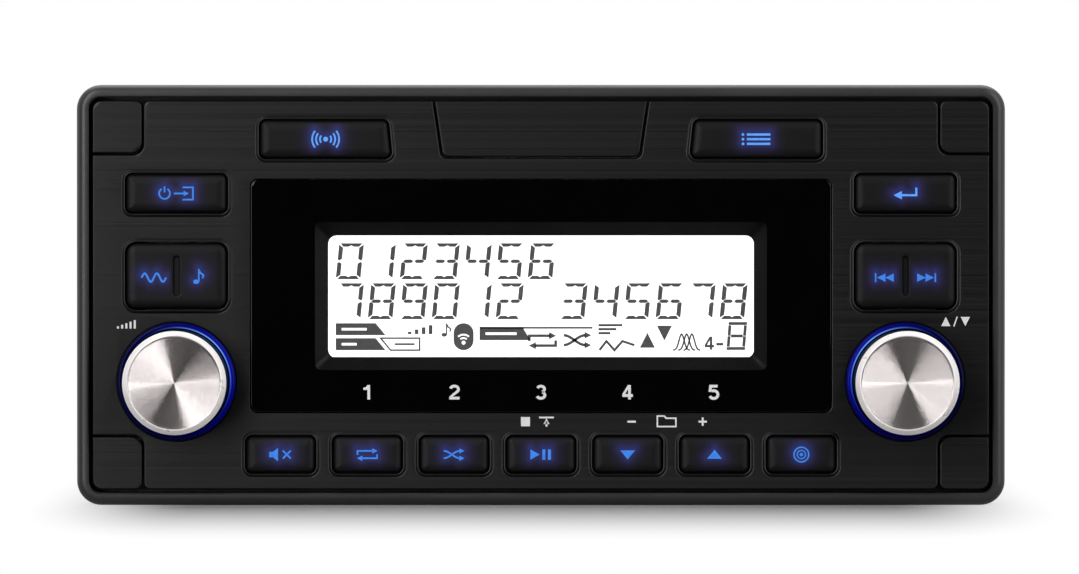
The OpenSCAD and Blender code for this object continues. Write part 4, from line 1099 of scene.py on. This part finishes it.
def view_mask():
    """The black edge printed round the display glass, with rounded inner corners."""
    x, h, _, front = place("lcd_glass")
    b = Build()
    outer = rect(x, h, VIEW_W + 1.0, VIEW_H + 1.0, 0.5)
    x0, h0, x1, h1 = fx(327.5), fh(357.8), fx(753.6), fh(235.2)
    inner = Outline([(x0, h0), (x1, h0), (x1, h1), (x0, h1)], 1.75)
    back, rise = front - 0.02, front + 0.05
    steps = (outer, back), (outer, rise), (inner, rise), (inner, back)
    rings = [b.ring(line.at(0), d) for line, d in steps]
    b.chain(rings)
    b.bridge(rings[-1], rings[0])
    b.piece("view_mask", [BEZEL], "receiver", "bezel_black")


def display():
    front = place("lcd_glass")[3]
    dark, pale = [], []
    w, t, pitch = 24.8 * PX, 36 * PX, 32 * PX
    for text, py in (("0123456", 279), ("789012 345678", 319)):
        for i, digit in enumerate(text):
            if digit != " ":
                dark += character(digit, fx(335) + i * pitch, fh(py), w, t, 0.9)
    # labels, rising bars, a note and a wireless sign
    dark += tag(335, 323, 385, 335, 10) + tag(335, 338, 385, 350, 10)
    pale += drawn(0.5, (341, 329), (366, 329)) + drawn(0.5, (341, 344), (356, 344))
    dark += drawn(0.34, (380, 338), (419, 338), (419, 350), (390, 350), closed=True)
    dark += drawn(0.4, (394, 344), (414, 344))
    for i in range(4):
        px = 409 + 7 * i
        dark += drawn(0.75, (px, 334), (px, 331.5 - 2.2 * i))
    dark += moved(note(), fx(446), fh(330), 0.9)
    dark += [rect(fx(463), fh(336.5), 20 * PX, 27 * PX, 2.0, 8).at(0)]
    pale += disc(fx(463), fh(342.5), 0.4)
    for r in (0.95, 1.65):
        pale += arc(fx(463), fh(342.5), r, 48, 132, 0.32)
    # a label with a rule, the two play signs, lines of a list and a rise and fall
    dark += tag(479, 327, 530, 340, 8) + drawn(0.38, (479, 327.6), (592, 327.6))
    pale += drawn(0.5, (485, 333.5), (516, 333.5))
    dark += moved(repeat(0.42), fx(542), fh(340.5), 1.35)
    dark += moved(shuffle(0.42), fx(577), fh(340), 1.35)
    for i in range(3):
        dark += drawn(0.5, (598, 325 + 4 * i), (622 - 6 * i, 325 + 4 * i))
    dark += drawn(0.5, (599, 350), (606, 341), (614, 350), (622, 341), (634, 345))
    # up and down, three bells, and a small number
    dark += arrow(fx(647), fh(340), 1.55, 90) + arrow(fx(664), fh(333), 1.55, 270)
    run = np.linspace(-1, 1, 25)
    bell = np.stack([1.75 * run, 3.3 * np.exp(-((run / 0.42) ** 2))], 1)
    for px in (681.2, 686.3, 691.5):
        dark += path(bell + (fx(px), fh(350)), 0.34)
    dark += small_digit("4", fx(709), fh(343), 2.7) + drawn(0.55, (716, 344), (723, 344))
    dark += thin_eight(fx(726.1), fh(349.8), 18.5 * PX, 28 * PX, 0.62)
    marks_piece("display_segments", dark, front, 0.02, SEGMENT, "receiver", "bezel_black")
    marks_piece("display_gaps", pale, front, 0.04, SCREEN, "receiver", "display_white", 0.0)


def prints():
    front = place("display_lens")[3]
    marks = []
    for digit, px in zip("12345", (367, 454, 540.4, 627, 713)):
        marks += small_digit(digit, fx(px), fh(391.6), 2.97)
    marks_piece("preset_numbers", marks, front, 0.02, PRINT, "receiver", "display_white")
    # over the lower keys: stop and eject, a folder between minus and plus
    h = fh(421)
    x0, x1 = fx(520.5), fx(529.5)
    marks = poly((x0, h - 0.95), (x1, h - 0.95), (x1, h + 0.95), (x0, h + 0.95))
    eject = bar(-1.5, 0.85, 1.5, 0.85, 0.34) + bar(0, -1.0, 0, 0.1, 0.4) + arrow(0, 0.1, 0.6, 90)
    folder = [(-1.9, -1.0), (1.9, -1.0), (1.9, 0.7), (-0.1, 0.7), (-0.5, 1.15), (-1.9, 1.15)]
    dash = bar(-0.85, 0, 0.85, 0, 0.4)
    upright = bar(0, -0.85, 0, -0.2, 0.4) + bar(0, 0.2, 0, 0.85, 0.4)
    marks += moved(eject, fx(546), h) + moved(path(folder, 0.3, closed=True), fx(666), h)
    marks += moved(dash, fx(631), h) + moved(dash + upright, fx(702), h)
    # over the knobs: rising bars, and up or down
    for i in range(5):
        x, y = fx(118 + 4.2 * i), fh(328)
        marks += bar(x, y, x, y + 0.45 + 0.32 * i, 0.42)
    updown = arrow(-2.0, 0, 0.95, 90) + bar(-0.35, -1.0, 0.35, 1.0, 0.26) + arrow(2.0, 0, 0.95, 270)
    marks += moved(updown, fx(954.5), fh(321))
    marks_piece("panel_marks", marks, PANEL_FRONT, 0.02, PRINT, "receiver", "display_white")


view_mask()
display()
prints()


# Stage, light and camera

FLOOR_H = CAD_BOX[0][2]
# the shadow painted on the floor round the object: half the footprint, its centre, how much faster
# it fades sideways, and how far it reaches
FOOTPRINT, FOOT_Y, SIDEWAYS, REACH = (0.070, 0.049, 0.0), 0.036, 4.6, 0.165
# the floor in mirror-like surfaces dims between these two places
DIM_Y, DIM = (-0.05, 0.03), 0.03


def floor_material():
    """White where seen far off; nearer the object a grey lit floor, which shows the lamps' real
    shadow, fades into the white as a painted shadow.
    """
    mat = bpy.data.materials.new("studio_floor")
    mat.use_nodes = True
    mat.node_tree.nodes.clear()
    n = Nodes(mat.node_tree)
    where, rays = n.node("TexCoord").outputs["Object"], n.node("LightPath").outputs
    # mirror-like surfaces see the white floor under and behind the object, the dim room in front
    axes = n.node("SeparateXYZ")
    n.link(where, axes.inputs[0])
    dim = n.remap(axes.outputs["Y"], DIM, 1.0, *DIM_Y)
    mirror = n.math("MULTIPLY", rays["Is Glossy Ray"], dim)
    through = n.math("MAXIMUM", mirror, rays["Is Transmission Ray"])
    glow = n.node("Emission")
    n.link(n.math("MAXIMUM", rays["Is Camera Ray"], through), glow.inputs["Strength"])
    # how far a point lies from the object's footprint
    far = n.vector("ABSOLUTE", n.vector("SUBTRACT", where, (0, FOOT_Y, 0)))
    far = n.vector("MAXIMUM", n.vector("SUBTRACT", far, FOOTPRINT), (0, 0, 0))
    far = n.vector("LENGTH", n.vector("MULTIPLY", far, (SIDEWAYS, 1, 1)))
    # painted shadow: near the footprint the floor is the grey lit floor, further out it fades into
    # white emission
    painted_shadow_fade = n.remap(far, 0.0, 1.0, 0.0, REACH, interpolation_type="SMOOTHSTEP")
    shaded = n.node("BsdfDiffuse", Color=(0.36, 0.36, 0.36, 1))
    out = n.node("OutputMaterial")
    n.link(n.mix(painted_shadow_fade, shaded.outputs[0], glow.outputs[0]), out.inputs["Surface"])
    return mat


def floor():
    mesh = bpy.data.meshes.new("floor")
    ring = circle(0, FOOT_Y, 0.22, 96)
    mesh.from_pydata([(x, y, 0) for x, y in ring], [], [tuple(range(96))])
    mesh.materials.append(floor_material())
    obj = bpy.data.objects.new("floor", mesh)
    obj.location = (0, 0, FLOOR_H)
    bpy.context.scene.collection.objects.link(obj)


def world():
    w = bpy.data.worlds.new("studio")
    bpy.context.scene.world = w
    w.use_nodes = True
    w.node_tree.nodes.clear()
    n = Nodes(w.node_tree)
    rays, axes = n.node("LightPath").outputs, n.node("SeparateXYZ")
    n.link(n.node("TexCoord").outputs["Generated"], axes.inputs[0])
    # mirror-like surfaces see the white backdrop behind and beside the object, the dim room in
    # front of it and the dark round the camera
    turn = n.remap(axes.outputs["Y"], 0.0, 1.0, -1.0, 1.0)
    room = n.ramp(turn, (0.0, 0.02), (0.03, 0.03), (0.10, 0.06), (0.28, 0.12), (0.48, 1.0))
    white = (1, 1, 1, 1)
    fill, seen = n.node("Background", Color=white, Strength=0.22), n.node("Background", Color=white)
    mirror = n.node("Background")
    n.link(room, mirror.inputs["Color"])
    shiny = n.mix(rays["Is Glossy Ray"], fill.outputs[0], mirror.outputs[0])
    direct = n.math("MAXIMUM", rays["Is Camera Ray"], rays["Is Transmission Ray"])
    out = n.node("OutputWorld")
    n.link(n.mix(direct, shiny, seen.outputs[0]), out.inputs["Surface"])


def softbox(name, at, aim, size, watts):
    data = bpy.data.lights.new(name, "AREA")
    data.shape = "RECTANGLE"
    data.size, data.size_y = size
    data.energy = watts
    obj = bpy.data.objects.new(name, data)
    obj.location = at
    obj.rotation_euler = (Vector(aim) - Vector(at)).to_track_quat("-Z", "Y").to_euler()
    bpy.context.scene.collection.objects.link(obj)


def camera():
    distance, rise = 1.75, math.radians(0.9)
    data = bpy.data.cameras.new("camera")
    data.sensor_width = 36
    data.lens = 36.05 * distance / (IMAGE_W * PX * MM)
    data.clip_end = 20
    obj = bpy.data.objects.new("camera", data)
    aim = Vector((fx((IMAGE_W - 1) / 2) * MM, -PANEL_FRONT * MM, fh((IMAGE_H - 1) / 2) * MM))
    obj.location = aim + distance * Vector((0, -math.cos(rise), math.sin(rise)))
    obj.rotation_euler = (math.pi / 2 - rise, 0, 0)
    bpy.context.scene.collection.objects.link(obj)
    bpy.context.scene.camera = obj


floor()
world()
softbox("key_left", (-0.475, -0.82, 0.465), (0, 0, 0.465), (0.36, 1.11), 8.0)
softbox("fill_right", (0.75, -0.70, 0.545), (0, 0, 0.545), (0.6, 1.21), 7.4)
softbox("top_back", (0, 0.45, 1.1), (0, 0, 0), (1.4, 0.8), 9)
camera()
bpy.context.scene.view_settings.view_transform = "Standard"
